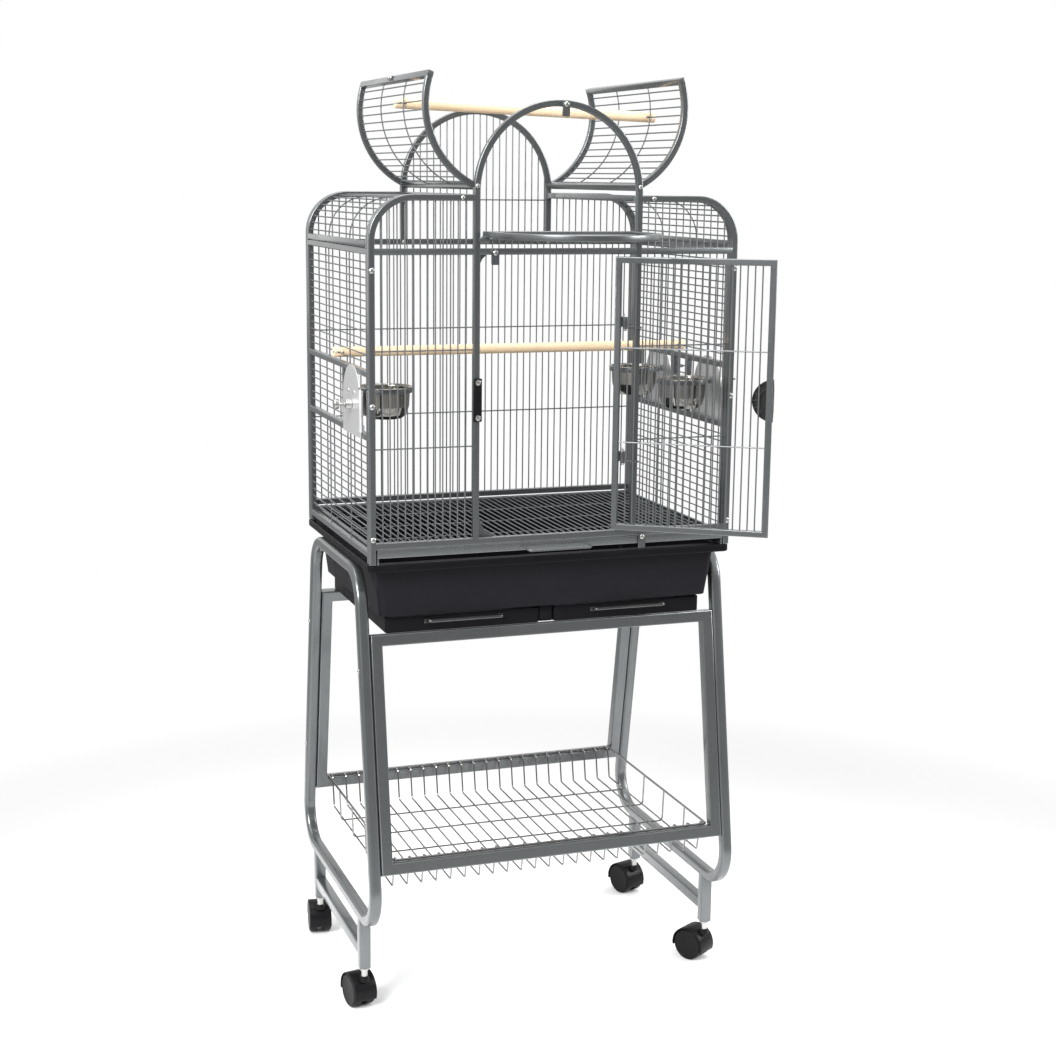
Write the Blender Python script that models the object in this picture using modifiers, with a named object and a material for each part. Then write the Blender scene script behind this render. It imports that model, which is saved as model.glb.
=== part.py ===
"""Bird cage on a wheeled stand: wire panels, dome top with two flaps, front door, feeders, grate and drawers.

Metres, +Z up. X runs left to right as seen from the front, +Y runs to the back. The pieces are placed in
cage coordinates (X from the cage's middle, Y from the plane of the front panel, Z from the floor) under one
empty, which then moves so that the origin lies on the floor under the middle of the whole.
"""
import math

import bmesh
import bpy
from mathutils import Matrix, Vector

# Clearances and sections
GAP = 0.0003
SEAT = 0.0005
TUBE = 0.010
HALF = TUBE / 2
WIRE = 0.0022
WIRE_R = WIRE / 2
WELD_DISTANCE = 0.000001
MERGE_DISTANCE = 0.00001
FLAT_BAR = 0.0040

# Cage box: heights are of tube centres
CAGE_X = 0.300
CAGE_DEPTH = 0.4136
RAIL_Z = 1.235
LOW_RAIL_Z = RAIL_Z - 0.450
TOP_RAIL_Z = RAIL_Z + 0.0808
SHOULDER_R = 0.065
ARCH_R = 0.1336
ARCH_Z = RAIL_Z + 0.090
WIRE_PITCH = 0.0119
ARC_STEPS = 6
ARCH_STEPS = 16
VERTICAL_LAYER = 0.0008
CROSS_LAYER = 0.0034
RAIL_FRONT = -0.0048
GUSSETS = (("upper", 0.0225, 0.031), ("lower", 0.035, 0.037))
GUSSET_THICK = 0.002

# Hopper
LIP_TOP = RAIL_Z - 0.4795
LIP_HEIGHT = 0.0125
LIP_X = 0.307
LIP_FRONT = -0.0045
LIP_BACK = CAGE_DEPTH + 0.0045
LIP_WIDTH = 0.020
BODY_TOP_X = 0.2906
BODY_BOTTOM_X = 0.2812
BODY_TOP_INSET = 0.0178
BODY_BOTTOM_INSET = 0.0301
BODY_HEIGHT = 0.077
HOPPER_WALL = 0.003

# Drawers
DRAWER_INNER_X = 0.0124
DRAWER_OUTER_X = 0.2708
DRAWER_FRONT = 0.0325
DRAWER_DEPTH = 0.345
DRAWER_HEIGHT = 0.0245
DRAWER_WALL = 0.0020
DRAWER_HANDLE = 0.124
DRAWER_HANDLE_OUT = 0.014
DRAWER_HANDLE_R = 0.0025

# Stand
STAND_TUBE = 0.019
STAND_HALF = STAND_TUBE / 2
STAND_X = 0.306
STAND_MID = 0.2040
LOOP_TOP = LIP_TOP - LIP_HEIGHT - GAP - STAND_HALF
LOOP_BOTTOM = RAIL_Z - 1.070
LOOP_TOP_HALF = 0.148
LOOP_BOTTOM_HALF = 0.243
LOOP_BEND_R = 0.060
FOOT_HALF = 0.1572
FOOT_BOTTOM = RAIL_Z - 1.162
FOOT_BAR_Z = RAIL_Z - 1.131
FRAME_TOP = LIP_TOP - LIP_HEIGHT - BODY_HEIGHT - DRAWER_HEIGHT - 0.0050
FRAME_BOTTOM = RAIL_Z - 0.980
LOOP_LEAN = math.atan2(LOOP_BOTTOM_HALF - LOOP_TOP_HALF, LOOP_TOP - LOOP_BOTTOM)

# Wire shelf
SHELF_X = 0.2740
SHELF_DEPTH = 0.053
SHELF_CROSS = 4
SHELF_PITCH = 0.0244
SHELF_WIRES = 2 * int((SHELF_X - 0.005) / SHELF_PITCH) + 1
SHELF_WIRE_R = 0.0013
SHELF_RIM_R = 0.0020
SHELF_RIM_Z = (FRAME_BOTTOM + STAND_TUBE * (math.cos(LOOP_LEAN) + math.sin(LOOP_LEAN))
               + SHELF_RIM_R - 0.0014)

# Castors
CASTOR_TRAIL = 0.022
WHEEL_R = 0.027
WHEEL_WIDTH = 0.015
WHEEL_GAP = 0.009
HOOD_R = 0.0305
HOOD_WALL = 0.0022
AXLE_R = 0.003
STEM_R = 0.008
CASTOR_TURN = {"front_left": 100.7, "front_right": 121.0, "rear_left": 82.0, "rear_right": 108.5}

# Front door and its lock
DOOR_GAP = 0.0029
DOOR_PIN_X = 0.1105
DOOR_PIN_Y = -0.0100
DOOR_OPEN = 147.0
DOOR_WIRES = 19
HINGE_Z = (RAIL_Z - 0.118, RAIL_Z - 0.332)
HINGE_HEIGHT = 0.016
LUG_HEIGHT = 0.003
KNUCKLE_R = 0.0042
LOCK_Z = RAIL_Z - 0.227
LOCK_R = 0.0335
LOCK_STEP = 0.004
KEEPER_WIDTH = 0.013
KEEPER_DEPTH = 0.006
KEEPER_HEAD = 0.0006

# Flaps of the dome
FLAP_OPEN = 69.3
FLAP_HINGE_Z = ARCH_Z + 0.0085
FLAP_WIRES = 14
FLAP_MEET = 0.0008
DOME_FLAP_R = 0.1255
DOME_FLAP_PIN_Y = -0.0095
DOME_FLAP_PIN_Z = RAIL_Z + 0.0165
DOME_FLAP_WIRES = 19
DOME_LUG = 0.004

# Turn buttons
BUTTON_WIDTH = 0.0125
BUTTON_HEIGHT = 0.0240
BUTTON_THICK = 0.0020
BUTTON_ABOVE = 0.0055
BOLT_R = 0.0042
BOLT_HEAD = 0.0030

# Feeders
CROSSBAR_UPPER = RAIL_Z - 0.185
CROSSBAR_LOWER = RAIL_Z - 0.2825
WINDOW_LENGTH = 0.1410
FEEDER_STEP = 0.2050
FEEDER_PIN_IN = 0.0175
FEEDER_PIN_OUT = 0.0055
PLATE_WIDTH = 0.110
PLATE_CENTRE = 0.0960
PLATE_TOP = RAIL_Z - 0.177
PLATE_BOTTOM = RAIL_Z - 0.2870
PLATE_THICK = 0.0020
BOWL_CENTRE_Y = 0.0880
BOWL_CENTRE_X = 0.2555
BOWL_R = 0.0450
BOWL_RIM_Z = RAIL_Z - 0.2120
BOWL_HEIGHT = 0.050
BOWL_WALL = 0.0010
RING_HEIGHT = 0.007
RING_WALL = 0.0022
RING_SIDES = 18
KNOB_LENGTH = 0.028
KNOB_R = 0.0080

# Grate
GRATE_TOP = LOW_RAIL_Z - HALF - 0.0010
GRATE_BAR = 0.0128
GRATE_SIDE = 0.003
GRATE_HANDLE = 0.107
GRATE_HANDLE_OUT = 0.024
GRATE_BUTTON_X = 0.148

# Perches
PERCH_R = 0.0082
PERCH_SLOT = 0.0032
PERCH_SLOT_DEPTH = 0.013
PERCH_PAST_WIRE = 0.0090
LOW_PERCH_Y = 0.2043
TOP_PERCH_Y = 0.1494
TOP_PERCH_WIRES = (12, 11)

# Colours: linear base colour, metallic, roughness
COLOURS = {
    "frame": ((0.13, 0.15, 0.15), 0.6, 0.45),
    "shelf": ((0.42, 0.43, 0.43), 1.0, 0.25),
    "plastic": ((0.016, 0.015, 0.018), 0.0, 0.45),
    "bright": ((0.65, 0.65, 0.64), 1.0, 0.22),
    "bowl": ((0.60, 0.59, 0.57), 1.0, 0.12),
    "plate": ((0.38, 0.39, 0.40), 0.5, 0.45),
    "wood": ((0.80, 0.62, 0.40), 0.0, 0.60),
}

PLANE_XZ = Matrix.Rotation(math.pi / 2, 4, "X")
PLANE_YZ = Matrix(((0, 0, 1, 0), (1, 0, 0, 0), (0, 1, 0, 0), (0, 0, 0, 1)))
PLANE_XY = Matrix.Identity(4)


# Scene, collections and materials

def start():
    for item in list(bpy.data.objects):
        bpy.data.objects.remove(item, do_unlink=True)
    folders = []
    for name in ("bird_cage", "cutters"):
        folder = bpy.data.collections.new(name)
        bpy.context.scene.collection.children.link(folder)
        folders.append(folder)
    return folders


PARTS, CUTTERS = start()
ROOT = bpy.data.objects.new("cage_origin", None)
PARTS.objects.link(ROOT)
MATERIALS = {}


def material(name):
    if name not in MATERIALS:
        colour, metallic, roughness = COLOURS[name]
        made = bpy.data.materials.new(name)
        made.use_nodes = True
        shader = made.node_tree.nodes["Principled BSDF"]
        shader.inputs["Base Color"].default_value = (*colour, 1)
        shader.inputs["Metallic"].default_value = metallic
        shader.inputs["Roughness"].default_value = roughness
        MATERIALS[name] = made
    return MATERIALS[name]


def arc(x, z, radius, start_angle, end_angle, steps):
    """Points of an arc, angles in degrees, both ends included."""
    turn = (end_angle - start_angle) / steps
    angles = [math.radians(start_angle + turn * k) for k in range(steps + 1)]
    return [(x + radius * math.cos(a), z + radius * math.sin(a)) for a in angles]


def mirrored(points):
    return [(-x, y) for x, y in points]


def spread(low, high, count):
    """Even places between two edges, the edges left out."""
    return [low + (high - low) * (k + 1) / (count + 1) for k in range(count)]


# Solids from curves and profiles

def add(name, mesh, look):
    piece = bpy.data.objects.new(name, mesh)
    PARTS.objects.link(piece)
    mesh.materials.clear()
    mesh.materials.append(material(look))
    return piece


def solid_from_curve(name, curve, matrix, look):
    guide = bpy.data.objects.new(name + "_guide", curve)
    PARTS.objects.link(guide)
    graph = bpy.context.evaluated_depsgraph_get()
    mesh = bpy.data.meshes.new_from_object(guide.evaluated_get(graph))
    bpy.data.objects.remove(guide, do_unlink=True)
    shape = bmesh.new()
    shape.from_mesh(mesh)
    bmesh.ops.remove_doubles(shape, verts=shape.verts, dist=WELD_DISTANCE)
    bmesh.ops.recalc_face_normals(shape, faces=shape.faces)
    shape.to_mesh(mesh)
    shape.free()
    mesh.transform(matrix)
    mesh.name = name
    return add(name, mesh, look)


def outline(name, loops, thickness, place, look="frame", turn=PLANE_XZ):
    """A flat outline with holes, extruded to a thickness and set in a plane through place."""
    curve = bpy.data.curves.new(name, "CURVE")
    curve.dimensions = "2D"
    curve.fill_mode = "BOTH"
    curve.extrude = thickness / 2
    for loop in loops:
        spline = curve.splines.new("POLY")
        spline.points.add(len(loop) - 1)
        for point, (x, y) in zip(spline.points, loop):
            point.co = (x, y, 0, 1)
        spline.use_cyclic_u = True
    return solid_from_curve(name, curve, Matrix.Translation(place) @ turn, look)


def rods(name, paths, radius=WIRE_R, look="frame", closed=False, resolution=0):
    """Round wires along paths of points, each with filled ends."""
    curve = bpy.data.curves.new(name, "CURVE")
    curve.dimensions = "3D"
    curve.bevel_depth = radius
    curve.bevel_resolution = resolution
    curve.use_fill_caps = not closed
    for path in paths:
        spline = curve.splines.new("POLY")
        spline.points.add(len(path) - 1)
        for point, place in zip(spline.points, path):
            point.co = (*place, 1)
        spline.use_cyclic_u = closed
    return solid_from_curve(name, curve, Matrix.Identity(4), look)


def box(name, low, high, look="frame"):
    bpy.ops.mesh.primitive_cube_add(size=1)
    made = bpy.context.object
    made.name = name
    for folder in list(made.users_collection):
        folder.objects.unlink(made)
    PARTS.objects.link(made)
    low, high = Vector(low), Vector(high)
    made.data.transform(Matrix.Translation((low + high) / 2) @ Matrix.Diagonal((*(high - low), 1)))
    made.data.materials.append(material(look))
    return made


def turned(name, profile, place, turn=PLANE_XY, look="frame", steps=16):
    """A profile of (radius, height) points, outer side running down, turned about its own +Z."""
    mesh = bpy.data.meshes.new(name)
    points = [(radius, 0, height) for radius, height in profile]
    mesh.from_pydata(points, [(k, k + 1) for k in range(len(points) - 1)], [])
    piece = add(name, mesh, look)
    screw = piece.modifiers.new("turn", "SCREW")
    screw.steps = steps
    screw.render_steps = steps
    screw.use_merge_vertices = True
    screw.merge_threshold = MERGE_DISTANCE
    piece.matrix_world = Matrix.Translation(place) @ turn
    bpy.context.view_layer.update()
    return piece


def drum(radius, top, bottom):
    return [(0, top), (radius, top), (radius, bottom), (0, bottom)]


def combine(target, pieces, operation):
    for piece in pieces:
        PARTS.objects.unlink(piece)
        CUTTERS.objects.link(piece)
        piece.hide_render = True
        piece.display_type = "WIRE"
        piece.parent = target
        piece.matrix_parent_inverse = target.matrix_world.inverted()
        change = target.modifiers.new(operation.lower(), "BOOLEAN")
        change.operation = operation
        change.solver = "EXACT"
        change.object = piece
    return target


def join(target, *pieces):
    return combine(target, pieces, "UNION")


def cut(target, *pieces):
    return combine(target, pieces, "DIFFERENCE")


def pivot(name, place, parent=None):
    """An empty on a joint's axis."""
    made = bpy.data.objects.new(name, None)
    PARTS.objects.link(made)
    made.location = place
    bpy.context.view_layer.update()
    hang(made, parent or ROOT)
    return made


def hang(piece, parent):
    piece.parent = parent
    piece.matrix_parent_inverse = parent.matrix_world.inverted()
    bpy.context.view_layer.update()


# Outline of the front and back panels

def shoulder(radius):
    """The right shoulder's arc, from the post to the top rail."""
    return arc(CAGE_X - SHOULDER_R, TOP_RAIL_Z - SHOULDER_R, radius, 0, 90, ARC_STEPS)


def panel_edge():
    """Outer edge of the front and back panels, half of it, from the right post's foot to the arch's top."""
    foot = LIP_TOP + GAP
    under = LOW_RAIL_Z - HALF
    edge = [(CAGE_X - HALF, under), (CAGE_X - HALF, foot), (CAGE_X + HALF, foot)]
    edge += shoulder(SHOULDER_R + HALF)
    edge.append((ARCH_R + HALF, TOP_RAIL_Z + HALF))
    return edge + arc(0, ARCH_Z, ARCH_R + HALF, 0, 90, ARCH_STEPS // 2)


def closed_edge(half):
    """A loop from its right half, whose last point lies on the middle."""
    return half + mirrored(half[:-1])[::-1]


def strip_hole(bottom):
    """The opening between a post, a shoulder and the arch's leg, on the right."""
    hole = [(ARCH_R + HALF, bottom), (CAGE_X - HALF, bottom)]
    return hole + shoulder(SHOULDER_R - HALF) + [(ARCH_R + HALF, TOP_RAIL_Z - HALF)]


def roof_height(x):
    """Height of the shoulder's or top rail's centre line above a place."""
    past = abs(x) - (CAGE_X - SHOULDER_R)
    if past <= 0:
        return TOP_RAIL_Z
    return TOP_RAIL_Z - SHOULDER_R + math.sqrt(SHOULDER_R ** 2 - past ** 2)


def thirds(low, high):
    return [low + (high - low) * part / 3 for part in (1, 2)]


# Front panel with its hinge lugs, gussets and lugs for the dome flap

def front_panel():
    opening = [(ARCH_R - HALF, LOW_RAIL_Z + HALF)]
    opening += arc(0, ARCH_Z, ARCH_R - HALF, 0, 90, ARCH_STEPS // 2)
    hole = strip_hole(LOW_RAIL_Z + HALF)
    panel = outline("front_panel", [closed_edge(panel_edge()), closed_edge(opening), hole, mirrored(hole)],
                    TUBE, (0, 0, 0))
    rail = box("front_rail", (-CAGE_X, RAIL_FRONT, RAIL_Z - HALF), (CAGE_X, RAIL_FRONT + FLAT_BAR, RAIL_Z + HALF))
    count = round((CAGE_X - ARCH_R - TUBE) / WIRE_PITCH) - 1
    upright = []
    level = []
    for side in (-1, 1):
        for x in spread(ARCH_R + HALF, CAGE_X - HALF, count):
            top = roof_height(x)
            upright.append([(side * x, VERTICAL_LAYER, LOW_RAIL_Z), (side * x, VERTICAL_LAYER, top)])
        for z in thirds(LOW_RAIL_Z, RAIL_Z):
            level.append([(side * ARCH_R, CROSS_LAYER, z), (side * CAGE_X, CROSS_LAYER, z)])
    join(panel, rods("front_uprights", upright), rods("front_levels", level), rail)
    for name, reach, height in GUSSETS:
        join(panel, *gusset(name, reach, height))
    for k, z in enumerate(HINGE_Z):
        join(panel, hinge_lug("door_lug_%d" % k, z))
    for side in (-1, 1):
        join(panel, dome_lug("dome_lug_%s" % ("left" if side < 0 else "right"), side))
    return panel


def gusset(name, reach, height):
    """A corner plate behind the closed door's edge, with the flange that holds it to the post."""
    z, way = (RAIL_Z, -1) if name == "upper" else (LOW_RAIL_Z, 1)
    x = -ARCH_R - HALF / 2
    front = HALF + GAP
    edge = [(0, 0), (reach, 0), (reach, 0.12), (reach * 0.62, 0.36), (reach * 0.40, 0.66), (reach * 0.32, 1), (0, 1)]
    corner = [(x + step, z + way * part_up * height) for step, part_up in edge]
    plate = outline("gusset_" + name, [corner], GUSSET_THICK, (0, front + GUSSET_THICK / 2, 0))
    low_z, high_z = sorted((z, z + way * height))
    flange = box("gusset_flange_" + name, (x + 0.0004, HALF - 0.001, low_z + 0.0004),
                 (-ARCH_R + HALF - 0.0006, front + GUSSET_THICK / 2, high_z - 0.0004))
    return plate, flange


def hinge_lug(name, z):
    """A flat lug that reaches from the door post in front of the closed door to the hinge pin."""
    front = DOOR_PIN_Y - KNUCKLE_R
    post = ARCH_R - HALF + 0.002
    shape = [(DOOR_PIN_X - KNUCKLE_R, front), (post + 0.006, front), (post + 0.006, -HALF + 0.002),
             (post, -HALF + 0.002), (post, -HALF - 0.0008), (DOOR_PIN_X - KNUCKLE_R, -HALF - 0.0008)]
    return outline(name, [shape], LUG_HEIGHT, (0, 0, z - LUG_HEIGHT / 2), turn=PLANE_XY)


def dome_lug(name, side):
    inner = side * (ARCH_R - HALF)
    low = (min(inner, inner + side * DOME_LUG), DOME_FLAP_PIN_Y - 0.004, DOME_FLAP_PIN_Z - 0.004)
    high = (max(inner, inner + side * DOME_LUG), -HALF + 0.002, DOME_FLAP_PIN_Z + 0.004)
    return box(name, low, high)


# Back panel

def back_panel():
    leg = RAIL_Z - HALF / 2
    opening = [(CAGE_X - HALF, LOW_RAIL_Z + HALF)] + shoulder(SHOULDER_R - HALF)
    opening += [(ARCH_R + HALF, TOP_RAIL_Z - HALF), (ARCH_R + HALF, leg), (ARCH_R - HALF, leg)]
    opening += arc(0, ARCH_Z, ARCH_R - HALF, 0, 90, ARCH_STEPS // 2)
    panel = outline("back_panel", [closed_edge(panel_edge()), closed_edge(opening)], TUBE, (0, CAGE_DEPTH, 0))
    layer = CAGE_DEPTH - VERTICAL_LAYER
    rail = box("back_rail", (-CAGE_X, CAGE_DEPTH - RAIL_FRONT - FLAT_BAR, RAIL_Z - HALF),
               (CAGE_X, CAGE_DEPTH - RAIL_FRONT, RAIL_Z + HALF))
    count = 2 * round((CAGE_X - HALF) / WIRE_PITCH - 0.5)
    upright = []
    for x in spread(-CAGE_X + HALF, CAGE_X - HALF, count):
        if abs(abs(x) - ARCH_R) < HALF + WIRE:
            top = leg + HALF / 2
        elif abs(x) < ARCH_R:
            top = ARCH_Z + math.sqrt(ARCH_R ** 2 - x ** 2)
        else:
            top = roof_height(x)
        upright.append([(x, layer, LOW_RAIL_Z), (x, layer, top)])
    upright = [path for path in upright if abs(abs(path[0][0]) - ARCH_R) > HALF + WIRE or path[1][2] < RAIL_Z]
    cross = CAGE_DEPTH - CROSS_LAYER
    level = [[(-CAGE_X, cross, z), (CAGE_X, cross, z)] for z in thirds(LOW_RAIL_Z, RAIL_Z)]
    level.append([(-ARCH_R, cross, RAIL_Z + 0.0727), (ARCH_R, cross, RAIL_Z + 0.0727)])
    return join(panel, rods("back_uprights", upright), rods("back_levels", level), rail)


# Side panels

SIDE_FRONT = HALF + SEAT
SIDE_BACK = CAGE_DEPTH - HALF - SEAT
SIDE_BOTTOM_Z = LOW_RAIL_Z - 0.015
WINDOW_FRONT = SIDE_FRONT + TUBE


def windows(side):
    """Front ends of a side's feeder windows, each with its own number."""
    return (WINDOW_FRONT,) if side < 0 else (WINDOW_FRONT, WINDOW_FRONT + FEEDER_STEP)


def rectangle(x0, x1, y0, y1):
    return [(x0, y0), (x1, y0), (x1, y1), (x0, y1)]


def side_panel(side):
    name = "side_panel_" + ("left" if side < 0 else "right")
    inner_front, inner_back = SIDE_FRONT + TUBE, SIDE_BACK - TUBE
    foot = LIP_TOP + GAP
    edge = [(SIDE_FRONT, foot), (inner_front, foot), (inner_front, SIDE_BOTTOM_Z - HALF),
            (inner_back, SIDE_BOTTOM_Z - HALF), (inner_back, foot), (SIDE_BACK, foot),
            (SIDE_BACK, RAIL_Z + HALF), (SIDE_FRONT, RAIL_Z + HALF)]
    upper = rectangle(inner_front, inner_back, CROSSBAR_UPPER + HALF, RAIL_Z - HALF)
    lower = rectangle(inner_front, inner_back, SIDE_BOTTOM_Z + HALF, CROSSBAR_LOWER - HALF)
    bars = (CROSSBAR_LOWER + HALF, CROSSBAR_UPPER - HALF)
    holes = [upper, lower]
    wired = []

    def hole(y0, y1):
        """One opening between the crossbars, a hair taller than the last so that no three corners line up."""
        ease = 0.00015 * len(holes)
        holes.append(rectangle(y0, y1, bars[0] - ease, bars[1] + ease))

    end = inner_front
    for start_y in windows(side):
        if start_y > end:
            hole(end, start_y - TUBE)
            wired.append((end, start_y - TUBE))
        hole(start_y, start_y + WINDOW_LENGTH)
        end = start_y + WINDOW_LENGTH + TUBE
    hole(end, inner_back)
    wired.append((end, inner_back))
    panel = outline(name, [edge] + holes, TUBE, (side * CAGE_X, 0, 0), turn=PLANE_YZ)
    x = side * (CAGE_X + VERTICAL_LAYER)
    level = []
    for low, high, y0, y1 in [(CROSSBAR_UPPER + HALF, RAIL_Z - HALF, inner_front, inner_back),
                              (SIDE_BOTTOM_Z + HALF, CROSSBAR_LOWER - HALF, inner_front, inner_back)] + [
                                  (*bars, y0, y1) for y0, y1 in wired]:
        count = round((high - low) / WIRE_PITCH) - 1
        for z in spread(low, high, count):
            level.append([(x, y0 - HALF, z), (x, y1 + HALF, z)])
    inner = side * (CAGE_X + VERTICAL_LAYER - WIRE - 0.0004)
    upright = []
    for y in thirds(0, CAGE_DEPTH):
        upright.append([(inner, y, CROSSBAR_UPPER), (inner, y, RAIL_Z)])
        upright.append([(inner, y, SIDE_BOTTOM_Z), (inner, y, CROSSBAR_LOWER)])
    join(panel, rods(name + "_levels", level), rods(name + "_uprights", upright))
    for k, start_y in enumerate(windows(side)):
        join(panel, feeder_lug("%s_lug_%d" % (name, k), side, start_y))
    return panel


def feeder_lug(name, side, start_y):
    """The fixed half of a feeder door's hinge, on the panel's face in front of the window."""
    x = side * (CAGE_X + HALF)
    pin_y = start_y + FEEDER_PIN_IN - TUBE
    low = (min(x - side * 0.002, x + side * 0.009), pin_y - 0.0035, CROSSBAR_UPPER - 0.0240)
    high = (max(x - side * 0.002, x + side * 0.009), pin_y + 0.0035, CROSSBAR_UPPER - 0.0210)
    arm = box(name, (low[0], start_y - TUBE + 0.001, low[2]), high)
    return arm


# Roof panels over the shoulders

def roof_panel(side):
    name = "roof_panel_" + ("left" if side < 0 else "right")
    foot = RAIL_Z + HALF + SEAT
    band = [(CAGE_X - HALF, foot), (CAGE_X + HALF, foot)] + shoulder(SHOULDER_R + HALF)
    band += [(ARCH_R - HALF, TOP_RAIL_Z + HALF), (ARCH_R - HALF, TOP_RAIL_Z - HALF)]
    band += shoulder(SHOULDER_R - HALF)[::-1]
    band = [(side * x, z) for x, z in band]
    front_y = SIDE_FRONT + HALF
    back_y = SIDE_BACK - HALF
    panel = outline(name, [band], TUBE, (0, front_y, 0))
    far_band = outline(name + "_far_band", [band], TUBE, (0, back_y, 0))
    bars = []
    for key, x, z in (("low", CAGE_X, foot + HALF), ("inner", ARCH_R, TOP_RAIL_Z)):
        bars.append(box(name + "_" + key, (side * x - HALF, front_y, z - HALF), (side * x + HALF, back_y, z + HALF)))
    join(panel, *bars, far_band)
    straight = SHOULDER_R * math.pi / 2
    flat = CAGE_X - SHOULDER_R - ARCH_R
    rise = TOP_RAIL_Z - SHOULDER_R - foot - HALF
    whole = rise + straight + flat
    count = round(whole / WIRE_PITCH) - 1
    level = []
    for distance in spread(0, whole, count):
        x, z = roof_place(distance - rise, SHOULDER_R)
        level.append([(side * x, front_y, z), (side * x, back_y, z)])
    hoops = []
    for y in thirds(0, CAGE_DEPTH):
        hoop = [(CAGE_X - WIRE - 0.0004, foot + HALF)]
        hoop += shoulder(SHOULDER_R - WIRE - 0.0004)
        hoop.append((ARCH_R, TOP_RAIL_Z - WIRE - 0.0004))
        hoops.append([(side * x, y, z) for x, z in hoop])
    return join(panel, rods(name + "_levels", level), rods(name + "_hoops", hoops))


def roof_place(distance, radius):
    """A place on the shoulder's line: up the side, round the bend, then in along the top."""
    bend = radius * math.pi / 2
    if distance < 0:
        return CAGE_X, TOP_RAIL_Z - SHOULDER_R + distance
    if distance < bend:
        angle = distance / radius
        return (CAGE_X - SHOULDER_R + radius * math.cos(angle), TOP_RAIL_Z - SHOULDER_R + radius * math.sin(angle))
    return CAGE_X - SHOULDER_R - (distance - bend), TOP_RAIL_Z


# Curved flaps of the dome, built closed and then turned open about their hinge bars

FLAP_FRONT = HALF + SEAT
FLAP_BACK = CAGE_DEPTH - HALF - SEAT
FLAP_START = math.degrees(math.asin((FLAP_HINGE_Z - ARCH_Z) / ARCH_R))
FLAP_END = 90 - math.degrees(math.asin((HALF + FLAP_MEET) / ARCH_R))


def flap_angles():
    return spread(FLAP_START, FLAP_END, FLAP_WIRES)


def top_flap(side):
    name = "top_flap_" + ("left" if side < 0 else "right")
    steps = 9
    band = arc(0, ARCH_Z, ARCH_R + HALF, FLAP_START, FLAP_END, steps)
    band += arc(0, ARCH_Z, ARCH_R - HALF, FLAP_END, FLAP_START, steps)
    band = [(side * x, z) for x, z in band]
    front_y = FLAP_FRONT + HALF
    back_y = FLAP_BACK - HALF
    flap = outline(name, [band], TUBE, (0, front_y, 0))
    far_band = outline(name + "_far_band", [band], TUBE, (0, back_y, 0))
    hinge_x = ARCH_R * math.cos(math.radians(FLAP_START))
    top_z = ARCH_Z + ARCH_R * math.sin(math.radians(FLAP_END))
    top_x = HALF + FLAP_MEET
    hinge_bar = box(name + "_hinge_bar", (side * hinge_x - HALF, FLAP_FRONT, FLAP_HINGE_Z - HALF),
                    (side * hinge_x + HALF, FLAP_BACK, FLAP_HINGE_Z + HALF))
    top_bar = box(name + "_top_bar", (side * top_x - HALF, FLAP_FRONT, top_z - HALF),
                  (side * top_x + HALF, FLAP_BACK, top_z + HALF))
    middle = CAGE_DEPTH / 2
    catch = box(name + "_catch", (side * top_x - 0.0035, middle - 0.010, top_z), (side * top_x + 0.0035, middle + 0.010, top_z + 0.0085))
    join(flap, far_band, hinge_bar, top_bar, catch)
    level = []
    for angle in flap_angles():
        x = ARCH_R * math.cos(math.radians(angle))
        z = ARCH_Z + ARCH_R * math.sin(math.radians(angle))
        level.append([(side * x, front_y, z), (side * x, back_y, z)])
    inner = ARCH_R - WIRE - 0.0004
    hoops = []
    for y in thirds(FLAP_FRONT, FLAP_BACK):
        hoop = arc(0, ARCH_Z, inner, FLAP_START, FLAP_END, 6)
        hoops.append([(side * x, y, z) for x, z in hoop])
    join(flap, rods(name + "_levels", level), rods(name + "_hoops", hoops))
    hinge = pivot(name + "_hinge", (side * hinge_x, CAGE_DEPTH / 2, FLAP_HINGE_Z))
    hang(flap, hinge)
    hinge.rotation_euler.y = side * math.radians(FLAP_OPEN)
    return flap


def open_flap_wire(number):
    """X and Z of one of an open flap's straight wires, on the right."""
    hinge = Vector((ARCH_R * math.cos(math.radians(FLAP_START)), FLAP_HINGE_Z))
    angle = math.radians(flap_angles()[number - 1])
    place = Vector((ARCH_R * math.cos(angle), ARCH_Z + ARCH_R * math.sin(angle))) - hinge
    turn = math.radians(FLAP_OPEN)
    x = hinge.x + place.x * math.cos(turn) + place.y * math.sin(turn)
    z = hinge.y - place.x * math.sin(turn) + place.y * math.cos(turn)
    return x, z


# The dome's front flap, folded down to a landing

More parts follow.
